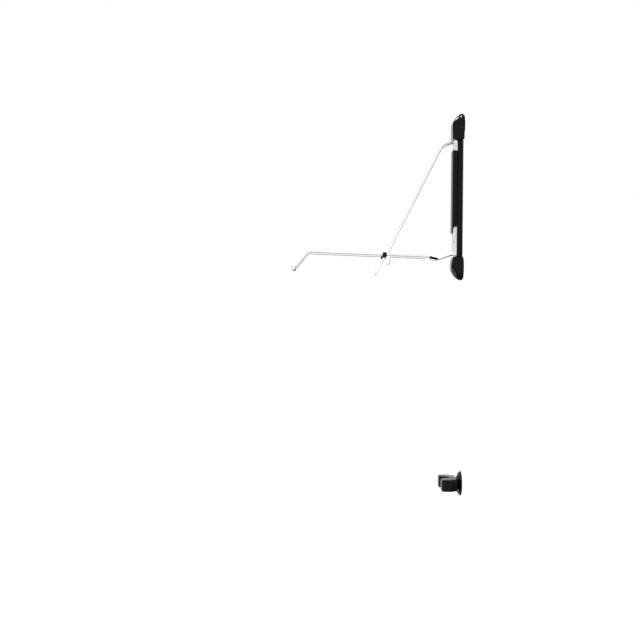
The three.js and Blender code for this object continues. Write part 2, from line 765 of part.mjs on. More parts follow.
// Sleeve on a straight run of a rod, from one share of the run to another.
function sleeve(from, to, startShare, endShare, boreRadius, outerRadius) {
  const start = new THREE.Vector3(...from);
  const end = new THREE.Vector3(...to);
  const a = start.clone().lerp(end, startShare);
  const b = start.clone().lerp(end, endShare);
  const way = b.clone().sub(a).normalize();
  const beyondA = a.clone().addScaledVector(way, -overrun);
  const beyondB = b.clone().addScaledVector(way, overrun);
  return bar(a.toArray(), b.toArray(), outerRadius)
    .subtract(bar(beyondA.toArray(), beyondB.toArray(), boreRadius));
}

const sleeveRunShares = [0.15, 0.9];
for (const [name, side] of [['near', -1], ['far', 1]]) {
  const corners = cradleSide(side);
  const piece = sleeve(corners[2], corners[3], ...sleeveRunShares, cradleRodRadius + gap,
    cradleRodRadius + gap + rodSleeveWall);
  add(`${name}_rod_sleeve`, piece, rubber);
}

const [hookX, hookZ] = fromHinge(cradleHinge, frontHookOut, frontHookDrop);
add('front_hook_sleeve', sleeve([hookX, -hookSleeveHalfLength, hookZ], [hookX, hookSleeveHalfLength, hookZ],
  0, 1, cradleRodRadius + gap, cradleRodRadius + gap + hookSleeveWall), rubber);

// Rear hook
const railSlope = (railStartDrop + railEndRise) / (railEndOut - railStartOut);

function railDropAt(out) {
  return railStartDrop - (out - railStartOut) * railSlope;
}

const rearHookTopDrop = railDropAt(rearHookOut) + cradleRodRadius + gap + rearHookRadius;
const rearHookCorners = [[-1, 0], [-1, 1], [1, 1], [1, 0]].map(([side, down]) => {
  const out = rearHookOut + rearHookReach * down;
  const drop = rearHookTopDrop + (rearHookDrop - rearHookTopDrop) * down;
  const [x, z] = fromHinge(cradleHinge, out, drop);
  return [x, side * railHalfGap, z];
});
const rearHookSolid = rod(rearHookCorners, rearHookRadius, rearHookBend);
add('rear_hook', rearHookSolid, zinc);

for (const [name, side] of [['near', -1], ['far', 1]]) {
  const [x, railZ] = fromHinge(cradleHinge, rearHookOut, railDropAt(rearHookOut));
  const middle = side * railHalfGap;
  const low = railZ + cradleRodRadius + clipEdge + gap - clipHeight;
  const body = slabAlongY(rounded([
    [x - clipLength * half, low, clipEdge], [x + clipLength * half, low, clipEdge],
    [x + clipLength * half, low + clipHeight, clipEdge], [x - clipLength * half, low + clipHeight, clipEdge],
  ]), clipHalfWidth);
  const geometry = geometryOf(body);
  geometry.translate(0, middle, 0);
  const railStart = fromHinge(cradleHinge, railStartOut, railStartDrop);
  const railEnd = fromHinge(cradleHinge, railEndOut, -railEndRise);
  const railBore = bar([railStart[0], middle, railStart[1]], [railEnd[0], middle, railEnd[1]],
    cradleRodRadius + gap);
  const index = side < 0 ? 0 : 3;
  const foot = rearHookCorners[side < 0 ? 1 : 2];
  const hookEnd = new THREE.Vector3(...rearHookCorners[index]);
  const way = hookEnd.clone().sub(new THREE.Vector3(...foot)).normalize();
  const above = hookEnd.clone().addScaledVector(way, gap);
  const hookBore = bar(foot, above.toArray(), rearHookRadius + gap);
  add(`${name}_hook_clip`, solidOf(geometry).subtract(railBore).subtract(hookBore), blackMatt);
}

// Stays
// Each stay turns upright a little above the rail that its foot carries.
const railUnderStay = cradleHinge.z - railDropAt(stayEndOut);
const stayEndDrop = stayHinge.z - railUnderStay - stayBendRise;

function stayCorners(side) {
  const stations = [
    [hingeTubeRadius * half, 0, stayRootHalfGap],
    [stayLeadOut, stayLeadDrop, stayRootHalfGap],
    [stayKneeOut, stayKneeDrop, stayHalfGap],
    [stayEndOut, stayEndDrop, stayHalfGap],
    [stayEndOut, stayEndDrop + stayFootLength, stayHalfGap],
  ];
  return stations.map(([out, drop, y]) => {
    const [x, z] = fromHinge(stayHinge, out, drop);
    return [x, y * side, z];
  });
}

for (const [name, side] of [['near', -1], ['far', 1]]) {
  const corners = stayCorners(side);
  add(`${name}_stay`, rod(corners, stayRadius, stayBend).subtract(roundStayTube), zinc);
  const end = corners[corners.length - 1];
  const sleeveTop = end[2] + footSleeveLength;
  const sleeveBottom = end[2] - gap;
  const tube = bar([end[0], end[1], sleeveTop], [end[0], end[1], sleeveBottom - steelSheet], footRadius);
  const bore = bar([end[0], end[1], sleeveTop + overrun], [end[0], end[1], sleeveBottom], stayRadius + gap);
  const pegZ = railUnderStay - cradleRodRadius - gap * 2 - pegRadius;
  const pegEnd = side * (railHalfGap + cradleRodRadius + pegOverhang);
  const peg = bar([end[0], end[1], pegZ], [end[0], pegEnd, pegZ], pegRadius);
  const collar = bar([end[0], pegEnd, pegZ],
    [end[0], pegEnd + side * pegCollarThickness, pegZ], pegCollarRadius);
  add(`${name}_stay_foot`, tube.add(peg).add(collar).subtract(bore), zinc);
}

// Tyre rest
// A round dished plate on the wall, a cradle whose two lobes spread from the plate to the front, and a
// rubber pad at the bottom of the channel between them.
const restZ = -tyreRestDrop;
const plateDome = plateDomeShares.map(([radiusShare, depthShare]) => [
  plateRadius * radiusShare, plateRimDepth + (plateCrownDepth - plateRimDepth) * depthShare,
]);
const plateProfile = [[0, 0], [plateRadius, 0], [plateRadius, plateRimDepth], ...plateDome]
  .map(([radius, depth]) => new THREE.Vector2(radius, depth));
const plateGeometry = new THREE.LatheGeometry(plateProfile, plateSides);
plateGeometry.rotateZ(quarterTurn);
plateGeometry.translate(0, 0, restZ);
let plateSolid = solidOf(plateGeometry);
const restScrewHeights = [restZ + restScrewSpacing * half, restZ - restScrewSpacing * half];
const restScrewSeat = plateCrownDepth - restScrewSink;
for (const z of restScrewHeights) {
  const seatX = -restScrewSeat;
  plateSolid = plateSolid
    .subtract(bar([-plateCrownDepth - overrun, 0, z], [overrun, 0, z], wallScrewRadius + gap))
    .subtract(bar([-plateCrownDepth - overrun, 0, z], [seatX, 0, z], wallScrewHeadRadius + runningGap));
}

const blockHalf = tyreCradleHeight * half;
const blockBack = -plateCrownDepth - gap;

function tyreCradle() {
  const flare = blockBack - (tyreCradleReach + blockBack) * tyreCradleFlareShare;
  const floor = blockBack - tyreCradleFloor;
  const oneSide = [
    [blockBack, tyreCradleHalfWidth * tyreCradleRootShare, 0],
    [flare, tyreCradleHalfWidth, tyreCradleCorner],
    [-tyreCradleReach, tyreCradleHalfWidth * tyreCradleTipShare, tyreCradleTip],
    [-tyreCradleReach, tyreMouthGap * half, tyreCradleTip],
    [floor, tyreRootGap * half, tyreChannelCorner],
  ];
  const otherSide = oneSide.map(([x, y, radius]) => [x, -y, radius]).reverse();
  const plan = [...oneSide, ...otherSide];
  const walls = slabAlongZ(rounded(plan), restZ - blockHalf, restZ + blockHalf);
  const side = slabAlongY(rounded([
    [blockBack, restZ - blockHalf, 0], [blockBack, restZ + blockHalf, 0],
    [-tyreCradleReach, restZ + blockHalf, tyreCradleEdge],
    [-tyreCradleReach, restZ - blockHalf, tyreCradleEdge],
  ]), tyreCradleHalfWidth + overrun);
  return walls.intersect(side);
}

add('tyre_rest_plate', plateSolid, blackMatt);
add('tyre_rest_cradle', tyreCradle(), blackMatt);
for (const [i, z] of restScrewHeights.entries()) {
  const seat = [-restScrewSeat - gap, 0, z];
  const piece = screw(seat, [-1, 0, 0], wallScrewRadius, restScrewSeat + gap, wallScrewHeadRadius,
    wallScrewHeadHeight);
  add(`tyre_rest_screw_${['upper', 'lower'][i]}`, piece, zinc);
}
const padBack = blockBack - tyreCradleFloor - gap;
add('tyre_rest_pad', block(
  [padBack - padThickness, -tyreRootGap * half + padInset, restZ - blockHalf + padInset],
  [padBack, tyreRootGap * half - padInset, restZ + blockHalf - padInset],
), rubber);

export default group;
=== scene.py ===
# %% [markdown]
# # Dressing a vertical stand
# The stand is a swivelling rack on the wall. Two zinc-plated rails with a hook at either end stick out
# from it, two stays carry the rails, and a black rest with two thick lobes sits on the wall below. The
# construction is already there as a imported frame, so this notebook gives each piece its fine surface and
# its finish.

# %% Load the frame
import json
import math
import bpy
import bmesh
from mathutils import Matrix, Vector

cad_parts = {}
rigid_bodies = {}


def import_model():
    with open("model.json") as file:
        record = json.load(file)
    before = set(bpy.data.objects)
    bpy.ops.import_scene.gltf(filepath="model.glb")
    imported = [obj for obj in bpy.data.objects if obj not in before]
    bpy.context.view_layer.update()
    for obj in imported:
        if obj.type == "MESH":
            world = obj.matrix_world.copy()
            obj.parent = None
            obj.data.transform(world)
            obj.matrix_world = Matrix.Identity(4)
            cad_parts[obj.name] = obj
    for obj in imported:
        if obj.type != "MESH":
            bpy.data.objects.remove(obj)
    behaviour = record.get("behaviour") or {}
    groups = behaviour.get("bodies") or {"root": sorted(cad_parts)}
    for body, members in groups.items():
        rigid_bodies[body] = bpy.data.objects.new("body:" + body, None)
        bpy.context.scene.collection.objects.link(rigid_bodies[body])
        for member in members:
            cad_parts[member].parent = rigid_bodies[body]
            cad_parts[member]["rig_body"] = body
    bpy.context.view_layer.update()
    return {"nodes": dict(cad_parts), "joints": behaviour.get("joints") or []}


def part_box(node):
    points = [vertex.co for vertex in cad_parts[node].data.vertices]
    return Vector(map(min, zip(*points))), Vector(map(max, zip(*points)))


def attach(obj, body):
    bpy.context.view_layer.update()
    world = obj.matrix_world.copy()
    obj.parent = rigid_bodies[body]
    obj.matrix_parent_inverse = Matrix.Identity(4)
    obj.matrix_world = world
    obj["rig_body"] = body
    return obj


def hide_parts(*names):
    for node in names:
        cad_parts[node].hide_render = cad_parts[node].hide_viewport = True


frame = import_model()
nodes = frame["nodes"]
print("pieces in the frame:", len(nodes))

# %% [markdown]
# ## The camera
# The photograph was taken from a little over three and a half metres, level with the middle of the
# picture. A camera could be aimed with a Track To constraint. Here it is simply turned to look along +Y,
# because the stand is seen square from its side, with the small roll that the photograph has.

# %% Camera
CAMERA_PLACE = (-0.5018, -3.636, -0.6894)
CAMERA_ROLL = -0.0101
SENSOR = 36.0
FOCAL_LENGTH = 57.94
camera_data = bpy.data.cameras.new("camera")
camera_data.sensor_width = SENSOR
camera_data.lens = FOCAL_LENGTH
camera = bpy.data.objects.new("camera", camera_data)
camera.location = CAMERA_PLACE
camera.rotation_euler = (math.pi / 2, CAMERA_ROLL, 0)
bpy.context.scene.collection.objects.link(camera)
bpy.context.scene.camera = camera
bpy.context.scene.view_settings.view_transform = "Standard"
print("camera looks along +Y from", CAMERA_PLACE)

# %% [markdown]
# ## Shader nodes
# A shader is a tree of nodes, and every node is made in one way: it is added and set, and its inputs are
# linked to other nodes or given plain values. It could be done line by line. One small function does it
# all, so that the cells below say only what goes into what.

# %% Node maker


def add_node(tree, kind, inputs=None, **settings):
    """A shader node with its settings, each input linked to an output or given a plain value."""
    node = tree.nodes.new(f"ShaderNode{kind}")
    for name, value in settings.items():
        setattr(node, name, value)
    for label, value in (inputs or {}).items():
        if isinstance(value, bpy.types.NodeSocket):
            tree.links.new(value, node.inputs[label])
        else:
            node.inputs[label].default_value = value
    return node


print("nodes are added, set and linked in one step")

# %% [markdown]
# ## Light and background
# The photograph has a bare white background and very soft light. A world shader can show one thing to
# the camera and give another amount of light: Light Path tells the two kinds of ray apart. The camera
# sees plain white, while the surfaces are lit at a lower, plain level.

# %% World
WORLD_LIGHT = 0.55
world = bpy.data.worlds.new("white studio")
bpy.context.scene.world = world
world.use_nodes = True


def plainly_seen(tree, ray):
    """A mask of the rays that see the bare background: the camera's, and those through glass."""
    both = {0: ray.outputs["Is Camera Ray"], 1: ray.outputs["Is Transmission Ray"]}
    return add_node(tree, "Math", both, operation="MAXIMUM").outputs[0]


tree = world.node_tree
ray = add_node(tree, "LightPath")
strength = add_node(tree, "MapRange", {"Value": plainly_seen(tree, ray), "To Min": WORLD_LIGHT})
print("world light", WORLD_LIGHT)

# %% [markdown]
# Plated rods would vanish against a background that they reflect. So reflections see white only towards
# the front and the back, and a belt between them. Its upper half is nearly white, like a ceiling, and its
# lower half, which the floor holds, is dark. It draws one thin line along the underside of each rod.

# %% The belt in the reflections
CEILING_LIGHT = 0.9
BELT_EDGES = (0.35, 0.75)


def belted(tree, direction, light_between):
    """White towards the front and the back, and the given light in the belt between them."""
    parts = add_node(tree, "SeparateXYZ", {0: direction})
    front_or_back = add_node(tree, "Math", {0: parts.outputs["Y"]}, operation="ABSOLUTE")
    start, end = BELT_EDGES
    inputs = {"Value": front_or_back.outputs[0], "From Min": start, "From Max": end, "To Min": light_between}
    return add_node(tree, "MapRange", inputs, interpolation_type="SMOOTHSTEP").outputs["Result"]


way = add_node(tree, "TexCoord")
chosen = add_node(tree, "Mix", {
    "Factor": ray.outputs["Is Glossy Ray"],
    "A": strength.outputs["Result"],
    "B": belted(tree, way.outputs["Generated"], CEILING_LIGHT),
})
background = tree.nodes["Background"]
background.inputs["Color"].default_value = (1, 1, 1, 1)
tree.links.new(chosen.outputs["Result"], background.inputs["Strength"])
print("ceiling light", CEILING_LIGHT)

# %% [markdown]
# Area lamps shape the black mouldings. Two small ones hang over the stand, and their reflections are the
# two bright spots near the top of the upper cap. One stands in front and one behind. The widest lies low
# in front, and gives the lower cap the soft grey shine along its edge. The camera sees none of the lamps.

# %% Lamps
# Each lamp has its place, the point it is aimed at, its width and height, and its power in watts.
LAMPS = {
    "over_front": ((-0.98, 0.82, 2.3), (0, 0, 0), (0.36, 0.36), 20),
    "over_wall": ((-0.3, 0.1, 2.61), (0, 0, 0), (0.36, 0.36), 20),
    "front": ((-1.9, -2.0, -0.2), (-0.2, 0, -0.5), (1.2, 1.6), 18),
    "behind": ((1.0, 1.8, 0.8), (0, 0, -0.4), (1.0, 1.6), 10),
    "under_front": ((-1.35, 0.3, -1.7), (0, 0, -0.47), (1.5, 1.5), 20),
}
for name, (place, target, size, power) in LAMPS.items():
    lamp_data = bpy.data.lights.new(name, "AREA")
    lamp_data.shape = "RECTANGLE"
    lamp_data.size, lamp_data.size_y = size
    lamp_data.energy = power
    lamp = bpy.data.objects.new(name, lamp_data)
    lamp.location = place
    aim = Vector(target) - Vector(place)
    lamp.rotation_euler = aim.to_track_quat("-Z", "Y").to_euler()
    lamp.visible_camera = False
    bpy.context.scene.collection.objects.link(lamp)
print("lamps:", ", ".join(LAMPS))

# %% [markdown]
# The floor is a grey sheet far under the stand. It is diffuse, so it keeps a soft shadow, and it glows for
# camera, glossy and transmission rays, so that it runs into the white background. It holds the dark half
# of the belt: right under the stand its glow in reflections is low.

# %% Floor
FLOOR_HEIGHT = -1.9
FLOOR_HALF_SIZE = 14.0


def everything_deselected():
    """Leaves edit mode and selects nothing, because an operator acts on all that is selected."""
    if bpy.context.object and bpy.context.object.mode != "OBJECT":
        bpy.ops.object.mode_set(mode="OBJECT")
    bpy.ops.object.select_all(action="DESELECT")


everything_deselected()
bpy.ops.mesh.primitive_plane_add(size=FLOOR_HALF_SIZE * 2, location=(0, 0, FLOOR_HEIGHT))
floor = bpy.context.object
floor.name = "floor"
floor_paint = bpy.data.materials.new("pale_floor")
floor_paint.use_nodes = True
floor.data.materials.append(floor_paint)
print("floor at", FLOOR_HEIGHT)

# %% Floor paint
FLOOR_GREY = (0.2, 0.2, 0.2, 1)
FLOOR_GLOW = 0.93
UNDERSIDE_LIGHT = 0.12
tree = floor_paint.node_tree
tree.nodes.clear()
ray = add_node(tree, "LightPath")
shape = add_node(tree, "NewGeometry")
belt = belted(tree, shape.outputs["Incoming"], UNDERSIDE_LIGHT)
reflected = add_node(tree, "Math", {0: belt, 1: ray.outputs["Is Glossy Ray"]}, operation="MULTIPLY")
either = add_node(tree, "Math", {0: plainly_seen(tree, ray), 1: reflected.outputs[0]}, operation="MAXIMUM")
amount = add_node(tree, "Math", {0: either.outputs[0], 1: FLOOR_GLOW}, operation="MULTIPLY")
glow = add_node(tree, "Emission", {"Strength": amount.outputs[0]})
chalk = add_node(tree, "BsdfDiffuse", {"Color": FLOOR_GREY})
both = add_node(tree, "AddShader", {0: chalk.outputs[0], 1: glow.outputs[0]})
add_node(tree, "OutputMaterial", {"Surface": both.outputs[0]})
print("floor glow", FLOOR_GLOW)

# %% [markdown]
# ## Shared surface effects
# Real surfaces are never one flat value. Three effects come back in most of the finishes, so each is a
# node group with named inputs: a fine grain, the faint streaks that handling and plating leave, and the
# brighter edges where a coating is thin. They put out masks and heights only.

# %% Grain group


def effect_group(name, inputs, outputs):
    """An empty shader node group with named number inputs and outputs."""
    group = bpy.data.node_groups.new(name, "ShaderNodeTree")
    for label, value in inputs.items():
        socket = group.interface.new_socket(label, in_out="INPUT", socket_type="NodeSocketFloat")
        socket.default_value = value
    for label in outputs:
        group.interface.new_socket(label, in_out="OUTPUT", socket_type="NodeSocketFloat")
    return group, group.nodes.new("NodeGroupInput").outputs, group.nodes.new("NodeGroupOutput").inputs


grain, given, result = effect_group("fine_grain", {"Scale": 900.0, "Roughening": 0.5}, ["Height"])
place = add_node(grain, "TexCoord").outputs["Object"]
speckle = add_node(grain, "TexNoise", {
    "Vector": place, "Scale": given["Scale"], "Detail": 3.0, "Roughness": given["Roughening"]})
grain.links.new(speckle.outputs["Fac"], result["Height"])
print("group:", grain.name)

# %% Streaks group
CLOUD_SCALE = 18.0
STREAK_START, STREAK_END = 0.4, 0.65
streaks, given, result = effect_group("streaks", {"Scale": 60.0, "Stretch": 6.0}, ["Mask", "Cloud"])
place = add_node(streaks, "TexCoord").outputs["Object"]
lengths = add_node(streaks, "CombineXYZ", {"X": given["Stretch"], "Y": given["Stretch"], "Z": 1.0})
stretched = add_node(streaks, "VectorMath", {0: place, 1: lengths.outputs[0]}, operation="MULTIPLY")
lines = add_node(streaks, "TexNoise", {
    "Vector": stretched.outputs[0], "Scale": given["Scale"], "Detail": 4.0})
sharper = add_node(streaks, "MapRange", {
    "Value": lines.outputs["Fac"], "From Min": STREAK_START, "From Max": STREAK_END})
cloud = add_node(streaks, "TexNoise", {"Vector": place, "Scale": CLOUD_SCALE, "Detail": 2.0})
streaks.links.new(sharper.outputs["Result"], result["Mask"])
streaks.links.new(cloud.outputs["Fac"], result["Cloud"])
print("group:", streaks.name)

# %% Worn edges group
PATCH_SCALE = 120.0
worn, given, result = effect_group("worn_edges", {"Start": 0.53, "End": 0.62}, ["Mask"])
shape = add_node(worn, "NewGeometry")
edge = add_node(worn, "MapRange", {
    "Value": shape.outputs["Pointiness"], "From Min": given["Start"], "From Max": given["End"]})
place = add_node(worn, "TexCoord").outputs["Object"]
patches = add_node(worn, "TexNoise", {"Vector": place, "Scale": PATCH_SCALE})
broken = add_node(worn, "Math", {0: edge.outputs["Result"], 1: patches.outputs["Fac"]}, operation="MULTIPLY")
worn.links.new(broken.outputs[0], result["Mask"])
print("group:", worn.name)

# %% [markdown]
# ## Finishes
# Every finish is a Principled BSDF with its own constants. What differs over the surface comes from the
# three groups: streaks and clouds vary the roughness and the tone, the grain feeds a Bump node, and worn
# edges lighten the coating. Black mouldings differ mostly in gloss, so one function makes them all.

# %% One function for all finishes


def mixed(tree, mask, low, high):
    """An output that goes from one value or colour to another with a mask."""
    if isinstance(low, tuple):
        inputs = {"Factor": mask, "A": (*low, 1), "B": (*high, 1)}
        return add_node(tree, "Mix", inputs, data_type="RGBA").outputs["Result"]
    return add_node(tree, "MapRange", {"Value": mask, "To Min": low, "To Max": high}).outputs["Result"]


def finish(name, tones, gloss, grain_scale, grain_depth, edge_tone, streak=(60.0, 6.0), **constants):
    """A material whose tone and roughness drift with clouds and streaks, over a fine grain.

    tones is the colour where it is dark and where it is light, gloss the lowest and highest roughness,
    grain_depth the height of the grain in metres, and edge_tone the colour of worn edges.
    """
    material = bpy.data.materials.new(name)
    material.use_nodes = True
    tree = material.node_tree
    shader = tree.nodes["Principled BSDF"]
    for socket, value in constants.items():
        shader.inputs[socket.replace("_", " ")].default_value = value
    scale, stretch = streak
    marks = add_node(tree, "Group", {"Scale": scale, "Stretch": stretch}, node_tree=streaks)
    edges = add_node(tree, "Group", node_tree=worn)
    colour = add_node(tree, "Mix", {
        "Factor": edges.outputs["Mask"],
        "A": mixed(tree, marks.outputs["Cloud"], *tones),
        "B": (*edge_tone, 1),
    }, data_type="RGBA")
    tree.links.new(colour.outputs["Result"], shader.inputs["Base Color"])
    tree.links.new(mixed(tree, marks.outputs["Mask"], *gloss), shader.inputs["Roughness"])
    fine = add_node(tree, "Group", {"Scale": grain_scale}, node_tree=grain)
    bump = add_node(tree, "Bump", {"Height": fine.outputs["Height"], "Distance": grain_depth})
    tree.links.new(bump.outputs["Normal"], shader.inputs["Normal"])
    print("finish:", name)
    return material


# %% The finishes
FINISHES = {
    "gloss_moulding": finish(
        "glossy_black_moulding", ((0.002, 0.0021, 0.0023), (0.0035, 0.0037, 0.004)), (0.08, 0.16), 90.0,
        0.00012, edge_tone=(0.012, 0.012, 0.013), Specular_IOR_Level=0.15),
    "satin_moulding": finish(
        "satin_black_moulding", ((0.0035, 0.0037, 0.004), (0.006, 0.0062, 0.0065)), (0.26, 0.36), 1400.0,
        0.00003, edge_tone=(0.02, 0.02, 0.021), Specular_IOR_Level=0.12),
    "matt_moulding": finish(
        "textured_black_moulding", ((0.004, 0.0042, 0.0045), (0.007, 0.0072, 0.0076)), (0.2, 0.3), 1400.0,
        0.00002, edge_tone=(0.02, 0.02, 0.021), Specular_IOR_Level=0.13),
    "black_powder_coat": finish(
        "black_powder_coat", ((0.0035, 0.0037, 0.004), (0.006, 0.0062, 0.0065)), (0.3, 0.42), 1100.0,
        0.00006, edge_tone=(0.02, 0.02, 0.021), Specular_IOR_Level=0.12),
    "black_steel": finish(
        "black_oxide_steel", ((0.016, 0.016, 0.018), (0.028, 0.028, 0.03)), (0.32, 0.48), 900.0,
        0.00002, edge_tone=(0.2, 0.2, 0.21), Metallic=0.6),
    "zinc_steel": finish(
        "bright_zinc_plate", ((0.84, 0.845, 0.86), (0.92, 0.922, 0.93)), (0.2, 0.34), 500.0,
        0.00001, edge_tone=(0.95, 0.95, 0.96), streak=(90.0, 4.0), Metallic=1.0),
    "rubber": finish(
        "matt_black_rubber", ((0.014, 0.014, 0.015), (0.024, 0.024, 0.025)), (0.62, 0.8), 1300.0,
        0.00012, edge_tone=(0.05, 0.05, 0.05)),
    "nylon": finish(
        "dark_grey_nylon", ((0.02, 0.02, 0.022), (0.032, 0.032, 0.034)), (0.4, 0.52), 900.0,
        0.00004, edge_tone=(0.06, 0.06, 0.06)),
}
print("finishes:", len(FINISHES))

# %% [markdown]
# Two finishes belong to no slot of their own. The folded hinge brackets are plated like the rods, but look
# duller. The two sleeves on the bar's bends are plated, with a painted dark reflection: a thin dark strip
# along their outer side, plated above and below it. The object's own normal, multiplied by the sign of the
# place across the stand, says which side faces outwards, so the painted strip turns with the bar.

# %% Plating on the folded sheet
bracket_plate = finish(
    "duller_zinc_sheet", ((0.66, 0.665, 0.69), (0.74, 0.745, 0.765)), (0.22, 0.36), 500.0,
    0.00001, edge_tone=(0.9, 0.9, 0.91), streak=(90.0, 4.0), Metallic=1.0)
print("hinge brackets:", bracket_plate.name)

# %% Painted dark reflection along the outer side
# The near-black colour below is a painted dark reflection on the sleeves' outward-facing side, and the two
# limits set where it starts.
PAINTED_REFLECTION_START, PAINTED_REFLECTION_END = 0.56, 0.66
PAINTED_REFLECTION_BLACK = (0.01, 0.01, 0.011, 1)
PAINTED_REFLECTION_ROUGHNESS = 0.6
strip = FINISHES["zinc_steel"].copy()
strip.name = "plated_with_painted_dark_reflection"
tree = strip.node_tree
shader = tree.nodes["Principled BSDF"]
facing = add_node(tree, "TexCoord").outputs
across = add_node(tree, "VectorMath", {0: facing["Object"]}, operation="SIGN")
outward = add_node(tree, "VectorMath", {0: facing["Normal"], 1: across.outputs[0]}, operation="MULTIPLY")
parts = add_node(tree, "SeparateXYZ", {0: outward.outputs[0]})
outer = add_node(tree, "MapRange", {
    "Value": parts.outputs["Y"], "From Min": PAINTED_REFLECTION_START, "From Max": PAINTED_REFLECTION_END})
# The loop mixes the painted dark reflection over the plated colour and roughness on the outward side.
for label, kind, dark in (("Base Color", "RGBA", PAINTED_REFLECTION_BLACK), ("Roughness", "FLOAT", PAINTED_REFLECTION_ROUGHNESS)):
    plated = shader.inputs[label].links[0].from_socket
    over = add_node(tree, "Mix", {"Factor": outer.outputs["Result"], "A": plated, "B": dark}, data_type=kind)
    tree.links.new(over.outputs["Result"], shader.inputs[label])
print("strip between normals", PAINTED_REFLECTION_START, "and", PAINTED_REFLECTION_END)

# %% [markdown]
# ## Which finish each piece of the frame has
# The pieces that stay as the frame gives them, such as the screws behind the covers, still need their
# finish in their own material slots. A table from finish to name endings is easier to read than a long
# list of names.

# %% Finish of each piece
SLOT_OF_ENDING = {
    "_cap": "gloss_moulding",
    "front_cover": "satin_moulding",
    "tyre_rest_plate": "matt_moulding",
    "tyre_rest_cradle": "matt_moulding",
    "hook_clip": "matt_moulding",
    "wall_bracket": "black_powder_coat",
    "spine": "black_powder_coat",
    "cross_pin": "black_steel",
    "cap_screw_near": "black_steel",
    "cap_screw_far": "black_steel",
    "sleeve": "rubber",
    "pad": "rubber",
    "bush": "nylon",
}


def slot_of(node):
    """The record's slot for a node: the table's, or zinc plate for all other metal pieces."""
    for ending, slot in SLOT_OF_ENDING.items():
        if node.endswith(ending):
            return slot
    return "zinc_steel"


for name, piece in nodes.items():
    piece.data.materials.clear()
    piece.data.materials.append(FINISHES[slot_of(name)])
print("finishes given to", len(nodes), "pieces")

# %% [markdown]
# ## Handing a piece over
# Each new piece stands for one node of the frame. It moves with that node's body, takes its finish, and
# hides it. Its place is put into its mesh, its normals face outwards, and flat faces stay flat while
# round ones are shaded smooth. That is the same for all, so it is one function.

# %% Hand a piece over
SMOOTH_BELOW = math.radians(32)


def modifier(piece, kind, **settings):
    """Adds a modifier with its settings and applies it."""
    made = piece.modifiers.new(kind.lower(), kind)
    for name, value in settings.items():
        setattr(made, name, value)
    bpy.context.view_layer.objects.active = piece
    bpy.ops.object.modifier_apply(modifier=made.name)


def placed():
    """Puts the place, the turn and the scale of the selected piece into its mesh."""
    bpy.ops.object.transform_apply(location=True, rotation=True, scale=True)


def opened():
    """Goes into edit mode with the whole mesh selected."""
    bpy.ops.object.mode_set(mode="EDIT")
    bpy.ops.mesh.select_all(action="SELECT")


def closed(merge_below=0.0):
    """Merges doubles, turns all faces outwards and leaves edit mode."""
    bpy.ops.mesh.select_all(action="SELECT")
    if merge_below:
        bpy.ops.mesh.remove_doubles(threshold=merge_below)
    bpy.ops.mesh.normals_make_consistent(inside=False)
    bpy.ops.object.mode_set(mode="OBJECT")


def stand_in(piece, node, turn_out=True):
    """Finishes a piece that stands for one node of the frame."""
    everything_deselected()
    piece.select_set(True)
    bpy.context.view_layer.objects.active = piece
    placed()
    if turn_out:
        opened()
        closed()
    bpy.ops.object.shade_smooth_by_angle(angle=SMOOTH_BELOW)
    piece.name = piece.data.name = f"fine_{node}"
    slot = slot_of(node)
    piece.data.materials.clear()
    piece.data.materials.append(FINISHES[slot])
    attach(piece, nodes[node]["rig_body"])
    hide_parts(node)
    return piece


print("smooth below", round(math.degrees(SMOOTH_BELOW)), "degrees")

# %% [markdown]
# Some steps act on a few edges only, so a small function selects those that pass a test. No real edge is
# as sharp as a modelled one, so another function bevels the edges that turn by more than an angle.

# %% Select by a test, and break edges
MM = 0.001
SAME_PLACE = MM / 100


def select_where(piece, kind, test):
    """Selects, in edit mode, the vertices, edges or faces that pass the test."""
    bpy.ops.mesh.select_mode(type=kind)
    bpy.ops.mesh.select_all(action="DESELECT")
    mesh = bmesh.from_edit_mesh(piece.data)
    for part in {"VERT": mesh.verts, "EDGE": mesh.edges, "FACE": mesh.faces}[kind]:
        part.select = test(part)
    bmesh.update_edit_mesh(piece.data)


def both_ends(test):
    """A test of an edge that its two ends have to pass."""
    return lambda edge: all(test(vertex.co) for vertex in edge.verts)


def edges_broken(piece, width, segments, sharper_than):
    """Bevels the edges that turn by more than an angle in degrees."""
    modifier(piece, "BEVEL", width=width, segments=segments, limit_method="ANGLE",
             angle_limit=math.radians(sharper_than))


print("places closer than", SAME_PLACE, "are the same")

# %% [markdown]
# ## Bent rods
# The cradle, the rear hook and the stays are round bars bent in a machine: straight runs with an arc at
# each bend. A curve with a bevel would draw them, but its arcs are hard to keep at one bend radius. Here
# a circle is extruded along each run and spun about the centre of each bend, as the machine does it.
# The hinges' places come from the joints of the frame.

# %% The hinges and the rod maker
ROD_SIDES = 28
SPIN_STEP = math.radians(7)
MERGE_BELOW = 0.00001
hinge_at = {joint["name"]: Vector(joint["pos_m"]) for joint in frame["joints"]}
CRADLE_HINGE = hinge_at["cradle_fold"]
STAY_HINGE = hinge_at["stay_fold"]


